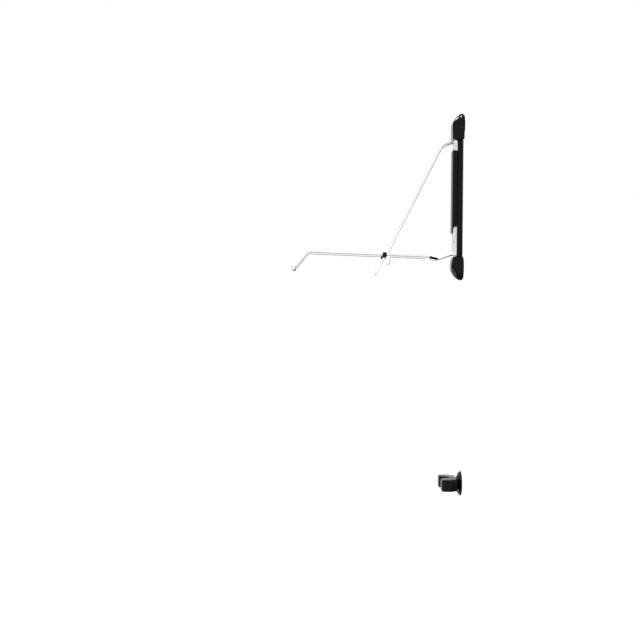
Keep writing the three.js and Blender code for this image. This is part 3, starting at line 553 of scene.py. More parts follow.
def bent_rod(corners, radius, bend):
    """A round bar along the corners, with an arc of radius bend at each."""
    line = [Vector(corner) for corner in corners]
    heading = (line[1] - line[0]).normalized()
    everything_deselected()
    bpy.ops.mesh.primitive_circle_add(vertices=ROD_SIDES, radius=radius, location=line[0],
                                      rotation=heading.to_track_quat("Z", "Y").to_euler())
    piece = bpy.context.object
    placed()
    opened()
    here = line[0]
    for before, corner, after in zip(line, line[1:], line[2:]):
        come = (corner - before).normalized()
        leave = (after - corner).normalized()
        turn = come.angle(leave)
        reach = bend * math.tan(turn / 2)
        start = corner - come * reach
        bpy.ops.mesh.extrude_region_move(TRANSFORM_OT_translate={"value": start - here})
        axis = come.cross(leave).normalized()
        centre = start + axis.cross(come) * bend
        steps = max(2, round(turn / SPIN_STEP))
        bpy.ops.mesh.spin(steps=steps, angle=-turn, center=centre, axis=axis)
        here = corner + leave * reach
    bpy.ops.mesh.extrude_region_move(TRANSFORM_OT_translate={"value": line[-1] - here})
    bpy.ops.mesh.select_all(action="SELECT")
    bpy.ops.mesh.remove_doubles(threshold=MERGE_BELOW)
    bpy.ops.mesh.fill_holes(sides=0)
    closed()
    return piece


def from_hinge(hinge, out, drop, side):
    """The point that far out from a hinge, that far below it, and that far to one side."""
    return hinge + Vector((-out, side, -drop))


print("hinges at", [round(value, 4) for value in (*CRADLE_HINGE, *STAY_HINGE)])

# %% [markdown]
# The cradle's bar leaves the hinge between the bracket's sides, dips, spreads to the width of the rails
# and comes back along the other side after it has gone round the front hook.

# %% Cradle rod
ROD_RADIUS = 0.0048
ROD_BEND = 0.017
ROOT_OUT = 0.0046
RAIL_HALF_GAP = 0.048
RAIL_START = (0.138, 0.0095)
RAIL_END = (0.5145, -0.002)
FRONT_HOOK = (0.564, 0.057)
# A station: how far out from the hinge, how far below it, and half the gap between the two sides.
CRADLE_STATIONS = [
    (ROOT_OUT, 0.0, 0.0064),
    (0.024, 0.0052, 0.0064),
    (0.057, 0.0185, 0.017),
    (0.096, 0.0125, 0.038),
    (*RAIL_START, RAIL_HALF_GAP),
    (*RAIL_END, RAIL_HALF_GAP),
    (*FRONT_HOOK, RAIL_HALF_GAP),
]


def cradle_side(side):
    """One side of the cradle's bar, from the hinge to the front hook."""
    return [from_hinge(CRADLE_HINGE, out, drop, gap * side) for out, drop, gap in CRADLE_STATIONS]


cradle_line = cradle_side(-1) + cradle_side(1)[::-1]
cradle_rod = stand_in(bent_rod(cradle_line, ROD_RADIUS, ROD_BEND), "cradle_rod")
print("cradle rod:", len(cradle_rod.data.polygons), "faces")

# %% Rear hook
REAR_HOOK_RADIUS = 0.0033
REAR_HOOK_BEND = 0.016
REAR_HOOK_OUT = 0.248
REAR_HOOK_REACH = 0.033
REAR_HOOK_DROP = 0.079
REAR_HOOK_CLEARANCE = 0.0003
rail_slope = (RAIL_START[1] - RAIL_END[1]) / (RAIL_END[0] - RAIL_START[0])


def rail_drop(out):
    """How far the rails' middle is below the hinge, at a distance out from it."""
    return RAIL_START[1] - (out - RAIL_START[0]) * rail_slope


hook_top_drop = rail_drop(REAR_HOOK_OUT) + ROD_RADIUS + REAR_HOOK_RADIUS + REAR_HOOK_CLEARANCE
rear_hook_line = [
    from_hinge(CRADLE_HINGE, REAR_HOOK_OUT + REAR_HOOK_REACH * down,
               hook_top_drop + (REAR_HOOK_DROP - hook_top_drop) * down, RAIL_HALF_GAP * side)
    for side, down in ((-1, 0), (-1, 1), (1, 1), (1, 0))
]
rear_hook = stand_in(bent_rod(rear_hook_line, REAR_HOOK_RADIUS, REAR_HOOK_BEND), "rear_hook")
print("rear hook:", len(rear_hook.data.polygons), "faces")

# %% Stays
STAY_RADIUS = 0.0037
STAY_BEND = 0.011
STAY_HALF_GAP = 0.036
STAY_END_OUT = 0.2325
STAY_BEND_RISE = 0.0146
STAY_FOOT_LENGTH = 0.046
STAY_END_DROP = STAY_HINGE.z - (CRADLE_HINGE.z - rail_drop(STAY_END_OUT)) - STAY_BEND_RISE
STAY_STATIONS = [
    (ROOT_OUT, 0.0, 0.0066),
    (0.011, 0.002, 0.0066),
    (0.048, 0.0165, STAY_HALF_GAP),
    (STAY_END_OUT, STAY_END_DROP, STAY_HALF_GAP),
    (STAY_END_OUT, STAY_END_DROP + STAY_FOOT_LENGTH, STAY_HALF_GAP),
]
for name, side in (("near_stay", -1), ("far_stay", 1)):
    line = [from_hinge(STAY_HINGE, out, drop, gap * side) for out, drop, gap in STAY_STATIONS]
    stand_in(bent_rod(line, STAY_RADIUS, STAY_BEND), name)
print("stays bent")

# %% [markdown]
# ## Plans
# Several pieces have one outline all the way through. Such a piece is drawn once as a plan, whose corners
# are eased by short arcs, and is extruded to its length. Round holes are cut with a cylinder.

# %% Eased outlines
ARC_STEPS = 5


def eased(corners):
    """An outline whose corners (x, y, rounding) are rounded by short arcs, all but the first and last."""
    points = [corners[0][:2]]
    for before, (x, y, rounding), after in zip(corners, corners[1:], corners[2:]):
        if not rounding:
            points.append((x, y))
            continue
        corner = Vector((x, y))
        back = Vector(before[:2]) - corner
        on = Vector(after[:2]) - corner
        reach = min(rounding / math.tan(back.angle(on) / 2), back.length / 2, on.length / 2)
        start = corner + back.normalized() * reach
        end = corner + on.normalized() * reach
        for step in range(ARC_STEPS + 1):
            share = step / ARC_STEPS
            point = start.lerp(corner, share).lerp(corner.lerp(end, share), share)
            points.append((point.x, point.y))
    return points + [corners[-1][:2]]


print("arc steps", ARC_STEPS)

# %% Slabs, bores and joins
DRILL_SIDES = 48


def slab(points, along):
    """A flat face through the points, extruded along a vector into a closed body."""
    everything_deselected()
    bpy.ops.mesh.primitive_circle_add(vertices=len(points), fill_type="NGON")
    piece = bpy.context.object
    for vertex, point in zip(piece.data.vertices, points):
        vertex.co = point
    opened()
    bpy.ops.mesh.extrude_region_move(TRANSFORM_OT_translate={"value": along})
    closed()
    return piece


def combined(piece, tool, operation="DIFFERENCE"):
    """Cuts a body away from a piece, or keeps the piece only inside it, and removes that body."""
    everything_deselected()
    modifier(piece, "BOOLEAN", operation=operation, object=tool, solver="EXACT")
    bpy.data.objects.remove(tool)


def bored(piece, start, end, radius):
    """Cuts a round hole from start to end through a piece."""
    way = end - start
    everything_deselected()
    bpy.ops.mesh.primitive_cylinder_add(
        vertices=DRILL_SIDES, radius=radius, depth=way.length, location=(start + end) / 2,
        rotation=way.to_track_quat("Z", "Y").to_euler())
    combined(piece, bpy.context.object)


def joined(piece, other):
    """Makes another object a part of the piece's mesh."""
    everything_deselected()
    other.select_set(True)
    piece.select_set(True)
    bpy.context.view_layer.objects.active = piece
    bpy.ops.object.join()


def mirrored(points):
    """The points and then their mirror images in reverse. A last point in the middle comes only once."""
    near = [Vector(point) for point in points]
    back = near[:-1] if near[-1].y == 0 else near
    return near + [Vector((point.x, -point.y, point.z)) for point in back[::-1]]


print("plans are eased, mirrored, extruded, bored and joined")

# %% [markdown]
# ## Caps
# The glossy caps close the rack's two ends. Each is a teardrop from the side: a flat narrow front that
# runs up to a point at the tip, and rounded cheeks that fall back to the wall. It could be carved with
# booleans, but its surface must flow, because gloss shows every dent. So a grid is laid over the shape,
# one row for each section, its front edges are creased, and subdivision rounds the rest.

# %% Shaped grid


def shaped_grid(rows):
    """A sheet of faces through rows of points, all rows of one length."""
    everything_deselected()
    bpy.ops.mesh.primitive_grid_add(x_subdivisions=len(rows[0]) - 1, y_subdivisions=len(rows) - 1, size=1)
    piece = bpy.context.object
    points = [point for row in rows for point in row]
    for vertex, point in zip(piece.data.vertices, points):
        vertex.co = point
    return piece


def crease_along(piece, columns, creased, strength_of_row):
    """Creases the edges that run along some columns of a shaped grid."""
    layer = piece.data.attributes.new("crease_edge", "FLOAT", "EDGE")
    for edge in piece.data.edges:
        first, second = sorted(edge.vertices)
        if second - first == columns and first % columns in creased:
            layer.data[edge.index].value = strength_of_row(first // columns)


print("a grid takes rows of points")

# %% Cap maker
CAP_WALL = 0.0026
CAP_LEVELS = 3
CAP_MERGE_BELOW = 0.00002
CHEEK_SHARES = ((0.47, 0.88, 0.65), (0.82, 0.52, 0.3))
ARCHED_ROWS = 2
RIDGE_COLUMN = 3
RIDGE_ROWS = 7
TIP_CREASE = 0.25


def cap_row(level, way, depth, rise, leaf, width, wall_rise, wall_out=0.0, arch=0.0):
    """One section of a cap: wall edge, cheek, shoulder, ridge and front middle, then back again.

    rise and wall_rise are the heights of its front and of its wall edge, away from the rack, leaf and
    width are half its breadth there, and wall_out is how far its wall edge stands off the wall.
    """
    half_row = [(wall_out, width, wall_rise)]
    for out_share, side_share, wall_share in CHEEK_SHARES:
        lift = arch * math.sin(math.pi * out_share)
        half_row.append((depth * out_share, leaf + (width - leaf) * side_share,
                         rise + (wall_rise - rise) * wall_share + lift))
    half_row += [(depth, leaf, rise), (depth, 0.0, rise)]
    return mirrored([(-out, -side, level + up * way) for out, side, up in half_row])


def cap_shell(level, way, stations, arch):
    """A cap's outer skin through its stations, with its front edges creased over the first rows."""
    rows = []
    for index, station in enumerate(stations):
        values = [value * MM for value in station]
        rows.append(cap_row(level, way, *values, arch=arch * MM if index < ARCHED_ROWS else 0.0))
    piece = shaped_grid(rows)
    columns = len(rows[0])
    ridges = (RIDGE_COLUMN, columns - 1 - RIDGE_COLUMN)
    crease_along(piece, columns, ridges, lambda row: 1.0 if row < RIDGE_ROWS else TIP_CREASE)
    modifier(piece, "SUBSURF", levels=CAP_LEVELS, render_levels=CAP_LEVELS,
             boundary_smooth="PRESERVE_CORNERS")
    opened()
    closed(CAP_MERGE_BELOW)
    return piece


print("a cap's section has", 2 * (len(CHEEK_SHARES) + 2) + 1, "points")

# %% Cap skins
# A station holds, in millimetres, what a section takes: depth, rise, leaf, width, wall rise and wall out.
TOP_CAP_STATIONS = [
    (42.8, 0, 26, 29, 0, 4.6), (43.1, 5, 26, 29.7, 5, 3.8), (43.7, 30, 26, 31.5, 26, 0.8),
    (44.1, 45, 24, 31.5, 43), (42.8, 56, 19.5, 31, 53), (38.6, 66, 14, 29.5, 61), (31, 77, 7.5, 26, 69),
    (22.2, 86, 3.4, 20.5, 76), (14, 92, 1.8, 15, 82), (8, 94, 1, 10, 86), (2.5, 92.5, 0.6, 5, 88.5),
    (0, 90, 0.3, 2, 89.5),
]
BOTTOM_CAP_STATIONS = [
    (36, 0, 23, 28.5, 0, 3.2), (37.5, 2.5, 24, 29, 2, 2.8), (40.3, 8, 25, 30, 6, 1.8),
    (42.8, 17, 25.5, 31.2, 15, 0.4), (43.3, 30, 24, 31.5, 28), (43, 42, 17, 31.5, 40),
    (41.4, 51, 9.5, 31, 48), (38.5, 59, 4.5, 29.5, 55), (33, 67, 2.4, 27, 61), (25.3, 75, 1.6, 23, 67),
    (17, 81, 1.2, 17, 72), (9.5, 83, 0.8, 11, 76), (3.5, 81.8, 0.5, 5.5, 78.5), (0, 79.8, 0.3, 2, 79.3),
]
TOP_CAP_ARCH = 2.0
caps = {}
for name, way, stations, arch in (("top_cap", 1, TOP_CAP_STATIONS, TOP_CAP_ARCH),
                                  ("bottom_cap", -1, BOTTOM_CAP_STATIONS, 0.0)):
    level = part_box(name)[0 if way > 0 else 1].z
    caps[name] = (cap_shell(level, way, stations, arch), level, way, stations[0])
print("cap skins:", ", ".join(caps))

# %% [markdown]
# A cap is closed towards the rack by a floor, with a hole that the swivel's bush turns in. The floor is
# moulded in one with the shell, so both are joined into one piece.

# %% Cap floors
CAP_PIN_HOLE = 0.0115
FLOOR_INSET = 0.0016
swivel_x = hinge_at["rack_swivel"].x
for name, (shell, level, way, station) in caps.items():
    modifier(shell, "SOLIDIFY", thickness=CAP_WALL, offset=-1)
    depth, rise, leaf, width, wall_rise, wall_out = [value * MM for value in station]
    plan = [(wall_out, width - FLOOR_INSET)]
    for out_share, side_share, wall_share in CHEEK_SHARES:
        plan.append((depth * out_share, leaf + (width - leaf) * side_share - FLOOR_INSET))
    plan.append((depth - FLOOR_INSET, leaf - FLOOR_INSET * 2))
    plate = slab(mirrored([(-out, -side, level) for out, side in plan]), (0, 0, CAP_WALL * way))
    axis_point = Vector((swivel_x, 0, level))
    through = Vector((0, 0, CAP_WALL * way))
    bored(plate, axis_point - through, axis_point + through * 2, CAP_PIN_HOLE)
    joined(shell, plate)
    stand_in(shell, name)
    print(name, len(shell.data.polygons), "faces")

# %% [markdown]
# ## Front cover
# A long moulded shell hides the spine and its screws. Its flat front ends in a lip below, and its sides
# rise there in an arch that leaves the hinge bracket bare. The shell is one sheet whose rows run along
# the rack, so that its lower rows can follow the arch, and Solidify then gives the sheet its wall.

# %% Cover sheet
COVER_LIP = 0.027
COVER_ROWS = 40
COVER_TIP_SHARE = 0.55
COVER_ARCH_OUT = 0.0305
COVER_BACK_DROP = 0.004
COVER_HALF_WIDTH = 0.026
COVER_PLAN = [
    (0.0245, 0.0175), (0.0272, 0.0215), (0.031, 0.0243), (0.036, 0.0253), (0.0416, COVER_HALF_WIDTH),
    (0.0416, 0.019), (0.0416, 0.0095), (0.0416, 0.0),
]
cover_low, cover_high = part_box("front_cover")
cover_corner_bottom = cover_low.z + COVER_LIP * (1 - COVER_TIP_SHARE)
cover_side_bottom = cover_low.z + COVER_LIP
back_out, front_out = COVER_PLAN[0][0], COVER_PLAN[-1][0]


def cover_bottom(out, side):
    """How low the cover reaches: a lip in front, an arch above the bracket, and down again behind."""
    if out >= front_out:
        share = abs(side) / COVER_HALF_WIDTH
        return cover_low.z + COVER_LIP * (1 - COVER_TIP_SHARE) * share ** 3
    if out > COVER_ARCH_OUT:
        share = (front_out - out) / (front_out - COVER_ARCH_OUT)
        return cover_corner_bottom + (cover_side_bottom - cover_corner_bottom) * math.sin(share * math.pi / 2)
    share = (COVER_ARCH_OUT - out) / (COVER_ARCH_OUT - back_out)
    return cover_side_bottom - COVER_BACK_DROP * share ** 2


cover_plan = [(out, -side) for out, side in COVER_PLAN] + [(out, side) for out, side in COVER_PLAN[-2::-1]]
cover_rows = []
for row in range(COVER_ROWS + 1):
    share = row / COVER_ROWS
    cover_rows.append([
        Vector((-out, side, cover_high.z + (cover_bottom(out, side) - cover_high.z) * share))
        for out, side in cover_plan
    ])
cover = shaped_grid(cover_rows)
print("cover sheet", len(cover.data.polygons), "faces")

# %% [markdown]
# Its two front corners are bevelled along their whole length. The upper end is closed by a plate, which
# is the boundary loop of the top row, filled.

# %% Cover corners, top and wall
COVER_WALL = 0.0026
COVER_CORNER = 0.0035
COVER_CORNER_SEGMENTS = 5
COVER_EDGE_BREAK = 0.0005


def is_front_corner(place):
    """Whether a place is on one of the cover's two front corners."""
    return abs(place.x + front_out) < SAME_PLACE and abs(abs(place.y) - COVER_HALF_WIDTH) < SAME_PLACE


opened()
select_where(cover, "EDGE", both_ends(is_front_corner))
bpy.ops.mesh.bevel(offset=COVER_CORNER, segments=COVER_CORNER_SEGMENTS)
select_where(cover, "EDGE", both_ends(lambda place: abs(place.z - cover_high.z) < SAME_PLACE))
bpy.ops.mesh.edge_face_add()
closed()
modifier(cover, "SOLIDIFY", thickness=COVER_WALL, offset=-1, use_even_offset=True)
edges_broken(cover, COVER_EDGE_BREAK, segments=2, sharper_than=50)
stand_in(cover, "front_cover")
print("cover", len(cover.data.polygons), "faces")

# %% [markdown]
# ## Hinge brackets
# Each hinge turns between the two sides of a folded zinc-plated bracket. A folded sheet starts as a thin
# skin: a box without its front and its ends. Bevels make the folds, a vertex bevel rounds the ears, and
# Solidify gives the sheet its thickness inwards, so that inner and outer folds keep one thickness.

# %% Folded channel maker
SHEET = 0.002
FOLD_RADIUS = 0.0028
FOLD_SEGMENTS = 4
EAR_RADIUS = 0.006
EAR_SEGMENTS = 8
SQUARE_ON = 0.9


def folded_channel(low, high):
    """A channel of folded sheet between two corners, open to the front, with rounded ears there."""
    size = high - low
    is_behind = both_ends(lambda place: abs(place.x - high.x) < SAME_PLACE)

    def is_fold(edge):
        first, second = (vertex.co for vertex in edge.verts)
        return is_behind(edge) and abs(first.z - second.z) > size.z / 2

    everything_deselected()
    bpy.ops.mesh.primitive_cube_add(size=1, location=(low + high) / 2)
    piece = bpy.context.object
    piece.scale = size
    placed()
    opened()
    select_where(piece, "FACE", lambda face: face.normal.x < -SQUARE_ON or abs(face.normal.z) > SQUARE_ON)
    bpy.ops.mesh.delete(type="FACE")
    select_where(piece, "VERT", lambda vertex: abs(vertex.co.x - low.x) < SAME_PLACE)
    bpy.ops.mesh.bevel(affect="VERTICES", offset=EAR_RADIUS, segments=EAR_SEGMENTS)
    select_where(piece, "EDGE", is_fold)
    bpy.ops.mesh.bevel(offset=FOLD_RADIUS, segments=FOLD_SEGMENTS)
    closed()
    return piece


print("sheet", SHEET)

# %% Brackets
EDGE_BREAK = 0.0003
for name in ("stay_bracket", "cradle_bracket"):
    bracket = folded_channel(*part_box(name))
    modifier(bracket, "SOLIDIFY", thickness=SHEET, offset=-1, use_even_offset=True)
    edges_broken(bracket, EDGE_BREAK, segments=2, sharper_than=60)
    stand_in(bracket, name)
    bracket.data.materials[0] = bracket_plate
    print(name, len(bracket.data.polygons), "faces")

# %% [markdown]
# ## Spine
# The spine is a rolled steel section: flat in front, round behind about the swivel's axis, with a slot
# to the wall. Its outline is extruded as a bare line, and Solidify gives that sheet its thickness.

# %% Spine sheet
SPINE_HALF_WIDTH = 0.014
SLOT_HALF_WIDTH = 0.004
SPINE_FOLD = 0.003
BACK_STEPS = 14
low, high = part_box("spine")


def spine_plan(inset, slot, level):
    """One half of the spine's outline, from the slot or the middle behind to the middle in front."""
    radius = SPINE_HALF_WIDTH - inset
    first = math.asin(slot / radius)
    turns = [first + (math.pi / 2 - first) * step / BACK_STEPS for step in range(BACK_STEPS + 1)]
    back = [(swivel_x + radius * math.cos(turn), -radius * math.sin(turn), 0) for turn in turns]
    front = [(low.x + inset, -radius, SPINE_FOLD - inset), (low.x + inset, 0, 0)]
    return [Vector((x, y, level)) for x, y in eased(back + front)]


lower_row = mirrored(spine_plan(0.0, SLOT_HALF_WIDTH, low.z))
spine = shaped_grid([lower_row, [point + Vector((0, 0, high.z - low.z)) for point in lower_row]])
modifier(spine, "SOLIDIFY", thickness=SHEET, offset=-1, use_even_offset=True)
edges_broken(spine, EDGE_BREAK, segments=2, sharper_than=60)
print("spine sheet", len(spine.data.polygons), "faces")

# %% Spine end plates
END_PLATE = 0.0025
SPIGOT_HOLE = 0.0056
for start, way in ((low.z, 1), (high.z, -1)):
    plate = slab(mirrored(spine_plan(SHEET, 0.0, start)[1:-1]), (0, 0, END_PLATE * way))
    reach = Vector((0, 0, END_PLATE * 2))
    middle = Vector((swivel_x, 0, start))
    bored(plate, middle - reach, middle + reach, SPIGOT_HOLE)
    joined(spine, plate)
stand_in(spine, "spine")
print("spine", len(spine.data.polygons), "faces")

# %% [markdown]
# ## Tyre rest
# The tyre rest has two thick lobes with a channel between them, on a round dished plate. The plate is
# turned work, so its profile is spun about its axis. The lobes are one solid block: its plan is drawn as
# a face, extruded to its height, and its edges are rounded by a bevel.

# %% Turned pieces
TURNED_STEPS = 40
LINE_MERGE_BELOW = 0.000001


def turned(profile, centre, axis, steps=TURNED_STEPS):
    """Spins an open profile of (radius, height along the axis) points into a closed body.

    The profile starts as a strip of faces of no width, which is merged into a bare line.
    """
    axis = Vector(axis).normalized()
    side = axis.orthogonal().normalized()
    everything_deselected()
    bpy.ops.mesh.primitive_grid_add(x_subdivisions=len(profile) - 1, y_subdivisions=1, size=1)
    piece = bpy.context.object
    for index, vertex in enumerate(piece.data.vertices):
        radius, height = profile[index % len(profile)]
        vertex.co = Vector(centre) + side * radius + axis * height
    opened()
    bpy.ops.mesh.select_mode(type="VERT")
    bpy.ops.mesh.remove_doubles(threshold=LINE_MERGE_BELOW)
    bpy.ops.mesh.select_all(action="SELECT")
    bpy.ops.mesh.delete(type="ONLY_FACE")
    bpy.ops.mesh.select_all(action="SELECT")
    bpy.ops.mesh.spin(steps=steps, angle=math.tau, center=centre, axis=axis)
    closed(MERGE_BELOW)
    return piece


print("turned pieces close on their axis")

# %% Tyre rest plate
REST_PLATE_STEPS = 96
REST_PLATE_RADIUS = 0.043
REST_PLATE_DEPTH = 0.017
REST_PLATE_RIM = 0.0035
RIM_ROUNDINGS = (0.0006, 0.002)
DOME_ROUNDING = 0.006
DOME_SHARES = ((0.84, 0.48), (0.6, 0.85), (0.33, 1.0))
low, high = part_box("tyre_rest_plate")
rest_centre = Vector((0, 0, (low.z + high.z) / 2))
dome_height = REST_PLATE_DEPTH - REST_PLATE_RIM
plate_profile = eased([
    (0, 0, 0), (REST_PLATE_RADIUS, 0, RIM_ROUNDINGS[0]),
    (REST_PLATE_RADIUS, REST_PLATE_RIM, RIM_ROUNDINGS[1]),
    *((REST_PLATE_RADIUS * r, REST_PLATE_RIM + dome_height * h, DOME_ROUNDING) for r, h in DOME_SHARES),
    (0, REST_PLATE_DEPTH, 0),
])
plate = stand_in(turned(plate_profile, rest_centre, (-1, 0, 0), REST_PLATE_STEPS), "tyre_rest_plate")
print("tyre rest plate", len(plate.data.polygons), "faces")

# %% Tyre rest lobes
MOUTH_GAP = 0.060
ROOT_GAP = 0.028
CHANNEL_FLOOR = 0.022
HALF_WIDTH = 0.067
ROOT_SHARE = 0.68
FLARE_SHARE = 0.42
TIP_SHARE = 0.95
FLARE_ROUNDING = 0.014
TIP_ROUNDING = 0.008
ROOT_ROUNDING = 0.004
low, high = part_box("tyre_rest_cradle")
back, tip, outer = -high.x, -low.x, high.y
flare = back + (tip - back) * FLARE_SHARE
floor_out = back + CHANNEL_FLOOR
plan = eased([
    (back, 0, 0), (back, HALF_WIDTH * ROOT_SHARE, 0), (flare, HALF_WIDTH, FLARE_ROUNDING),
    (tip, HALF_WIDTH * TIP_SHARE, TIP_ROUNDING), (tip, MOUTH_GAP / 2, TIP_ROUNDING),
    (floor_out, ROOT_GAP / 2, ROOT_ROUNDING), (floor_out, 0, 0),
])[1:-1]
lobes = slab(mirrored([(-out, side, low.z) for out, side in plan]), (0, 0, high.z - low.z))
print("lobes drawn", len(lobes.data.polygons), "faces")

# %% [markdown]
# From the side the lobes' front corners are round. A second body with the rounded side view, kept where
# both overlap, gives the block that shape, which is easier than bevelling corners of many small faces.

# %% Rounded lobe ends
LOBE_END_RADIUS = 0.006
LOBE_EDGE_BREAK = 0.0014
side_view = eased([
    (0, 0, 0), (back - MM, low.z, 0), (tip, low.z, LOBE_END_RADIUS), (tip, high.z, LOBE_END_RADIUS),
    (back - MM, high.z, 0), (0, 0, 0),
])[1:-1]
keep = slab([(-out, -outer - MM, up) for out, up in side_view], (0, (outer + MM) * 2, 0))
combined(lobes, keep, "INTERSECT")
edges_broken(lobes, LOBE_EDGE_BREAK, segments=3, sharper_than=40)
stand_in(lobes, "tyre_rest_cradle")
print("lobes", len(lobes.data.polygons), "faces")

# %% [markdown]
# The rubber pad at the bottom of the channel has shallow grooves across it, for grip. Its front starts as
# a divided face, in which every other pair of rows is pressed in, and is extruded to the channel's floor.
# Modelled grooves catch the light along their edges, which a bump alone would not do.

# %% Tyre rest pad
PAD_RIBS = 8
PAD_ROWS = PAD_RIBS * 4
GROOVE_DEPTH = 0.001
PAD_EDGE_BREAK = 0.0004
low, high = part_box("tyre_rest_pad")
everything_deselected()
bpy.ops.mesh.primitive_grid_add(x_subdivisions=1, y_subdivisions=PAD_ROWS, size=1)
pad = bpy.context.object
for vertex in pad.data.vertices:
    across, along = vertex.co.x + 0.5, vertex.co.y + 0.5
    row = round(along * PAD_ROWS)
    in_groove = row % 4 in (2, 3)
    vertex.co = (low.x + (GROOVE_DEPTH if in_groove else 0), low.y + across * (high.y - low.y),
                 low.z + along * (high.z - low.z))
opened()
bpy.ops.mesh.extrude_region_move()
mesh = bmesh.from_edit_mesh(pad.data)
for vertex in mesh.verts:
    if vertex.select:
        vertex.co.x = high.x
bmesh.update_edit_mesh(pad.data)
closed()
edges_broken(pad, PAD_EDGE_BREAK, segments=2, sharper_than=50)
stand_in(pad, "tyre_rest_pad")
print("pad", len(pad.data.polygons), "faces")

# %% [markdown]
# ## Turned small pieces
# Pins, tubes, sleeves, bushes and washers are all round, so each is a profile spun about its axis. A
# cylinder would have the right size but knife-sharp ends, and a real turned end always has its edge
# broken. A profile that comes back to its first point makes a ring.

# %% Rings and pins


def run_of(node, axis):
    """The two ends of a node along an axis."""
    low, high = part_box(node)
    index = "xyz".index(axis)
    start = (low + high) / 2
    end = start.copy()
    start[index], end[index] = low[index], high[index]
    return start, end


def radius_of(node, axis):
    """The largest radius of a node across an axis."""
    low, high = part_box(node)
    return max(high[index] - low[index] for index in range(3) if index != "xyz".index(axis)) / 2


def ring(start, end, outer, inner, ease):
    """A tube from start to end with rounded rims."""
    length = (end - start).length
    corners = [(inner, length / 2, 0), (inner, 0, ease), (outer, 0, ease), (outer, length, ease),
               (inner, length, ease), (inner, length / 2, 0)]
    return turned(eased(corners), start, end - start)


def headed_pin(tip, top, head_radius, head_height, shank_radius, ease):
    """A round pin from its tip to the top of its head."""
    length = (top - tip).length
    neck = length - head_height
    corners = [(0, 0, 0), (shank_radius, 0, ease), (shank_radius, neck, 0), (head_radius, neck, ease),
               (head_radius, length, head_height / 3), (0, length, 0)]
    return turned(eased(corners), tip, top - tip)


print("rings and pins are turned in", TURNED_STEPS, "steps")

# %% Pins, tubes and washers
# A pin: the radius and height of its head, the radius of its shank, and the rounding of its edges.
# A ring: its outer and inner radius, and the rounding of its rims.
HINGE_PIN = (0.005, 0.0022, 0.003, 0.0005)
SWIVEL_PIN = (0.0065, 0.003, 0.004, 0.0006)
HINGE_TUBE = (0.0056, 0.0033, 0.0004)
WASHER = (0.0065, 0.0033, 0.0003)
for name in ("stay_hinge_pin", "cradle_hinge_pin"):
    near, far = run_of(name, "y")
    stand_in(headed_pin(far, near, *HINGE_PIN), name)
lowest, highest = run_of("upper_swivel_pin", "z")
stand_in(headed_pin(lowest, highest, *SWIVEL_PIN), "upper_swivel_pin")
lowest, highest = run_of("lower_swivel_pin", "z")
stand_in(headed_pin(highest, lowest, *SWIVEL_PIN), "lower_swivel_pin")
for name in ("stay_hinge_tube", "cradle_hinge_tube"):
    stand_in(ring(*run_of(name, "y"), *HINGE_TUBE), name)
for place in ("upper", "lower"):
    for number in (1, 2):
        name = f"{place}_wall_washer_{number}"
        stand_in(ring(*run_of(name, "x"), *WASHER), name)
print("pins, tubes and washers turned")

# %% [markdown]
# The bushes have a collar outside the spine's end plate and a spigot that goes through it.

# %% Bushes
BUSH_COLLAR = 0.0095
BUSH_SPIGOT = 0.0053
BUSH_BORE = 0.0043
BUSH_ROUNDINGS = (0.0003, 0.0006, 0.0004)
spine_bottom, spine_top = (corner.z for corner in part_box("spine"))
for place, spine_end in (("upper", spine_top), ("lower", spine_bottom)):
    name = f"{place}_swivel_bush"
    ends = run_of(name, "z")
    start, end = ends[::-1] if place == "upper" else ends
    length = (end - start).length
    collar = abs(start.z - spine_end)
    fine, wide, middling = BUSH_ROUNDINGS
    profile = eased([
        (BUSH_BORE, length / 2, 0), (BUSH_BORE, 0, fine), (BUSH_COLLAR, 0, wide),
        (BUSH_COLLAR, collar, middling), (BUSH_SPIGOT, collar, 0), (BUSH_SPIGOT, length, middling),
        (BUSH_BORE, length, fine), (BUSH_BORE, length / 2, 0),
    ])
    stand_in(turned(profile, start, end - start), name)
print("bushes turned")

# %% [markdown]
# ## Sleeves
# Sleeves cover the cradle's bar where it spreads and round the front hook. They are rings along a
# slanting run, so the run's two corners say where they go.

# %% Sleeves
SLEEVE_RUN_SHARES = (0.15, 0.9)
ROD_SLEEVE = (0.0057, 0.0050, 0.0003)
HOOK_SLEEVE = (0.0067, 0.0050, 0.0008)
# The two rod sleeves take the plated finish with a painted dark reflection along their outer side.
for name, side in (("near_rod_sleeve", -1), ("far_rod_sleeve", 1)):
    corners = cradle_side(side)
    start, end = (corners[2].lerp(corners[3], share) for share in SLEEVE_RUN_SHARES)
    sleeve = stand_in(ring(start, end, *ROD_SLEEVE), name)
    sleeve.data.materials[0] = strip
stand_in(ring(*run_of("front_hook_sleeve", "y"), *HOOK_SLEEVE), "front_hook_sleeve")
print("sleeves turned")

# %% [markdown]
# ## Screws and nuts
# All the screws are of one kind: a domed head with a cross recess. The head is turned, and two crossed
# slots are cut from it with a boolean, which keeps their bottoms flat. The nuts are short six-sided
# bars whose corners are broken by a bevel.

# %% Screw heads
CROSS_WIDTH_SHARE = 0.3
CROSS_LENGTH_SHARE = 1.15
CROSS_DEPTH_SHARE = 0.55
HEAD_IS_WIDER_THAN = 0.9


def cross_cutter(place, way, head_radius, depth):
    """Two crossed bars, sunk to a depth below a place, that cut the recess of a screw's head."""
    turn = way.to_track_quat("Z", "Y").to_euler()
    bars = []
    for width, length in ((CROSS_WIDTH_SHARE, CROSS_LENGTH_SHARE), (CROSS_LENGTH_SHARE, CROSS_WIDTH_SHARE)):
        everything_deselected()
        bpy.ops.mesh.primitive_cube_add(size=1, location=place, rotation=turn)
        bar = bpy.context.object
        bar.scale = (head_radius * width, head_radius * length, depth * 2)
        placed()
        bars.append(bar)
    return bars


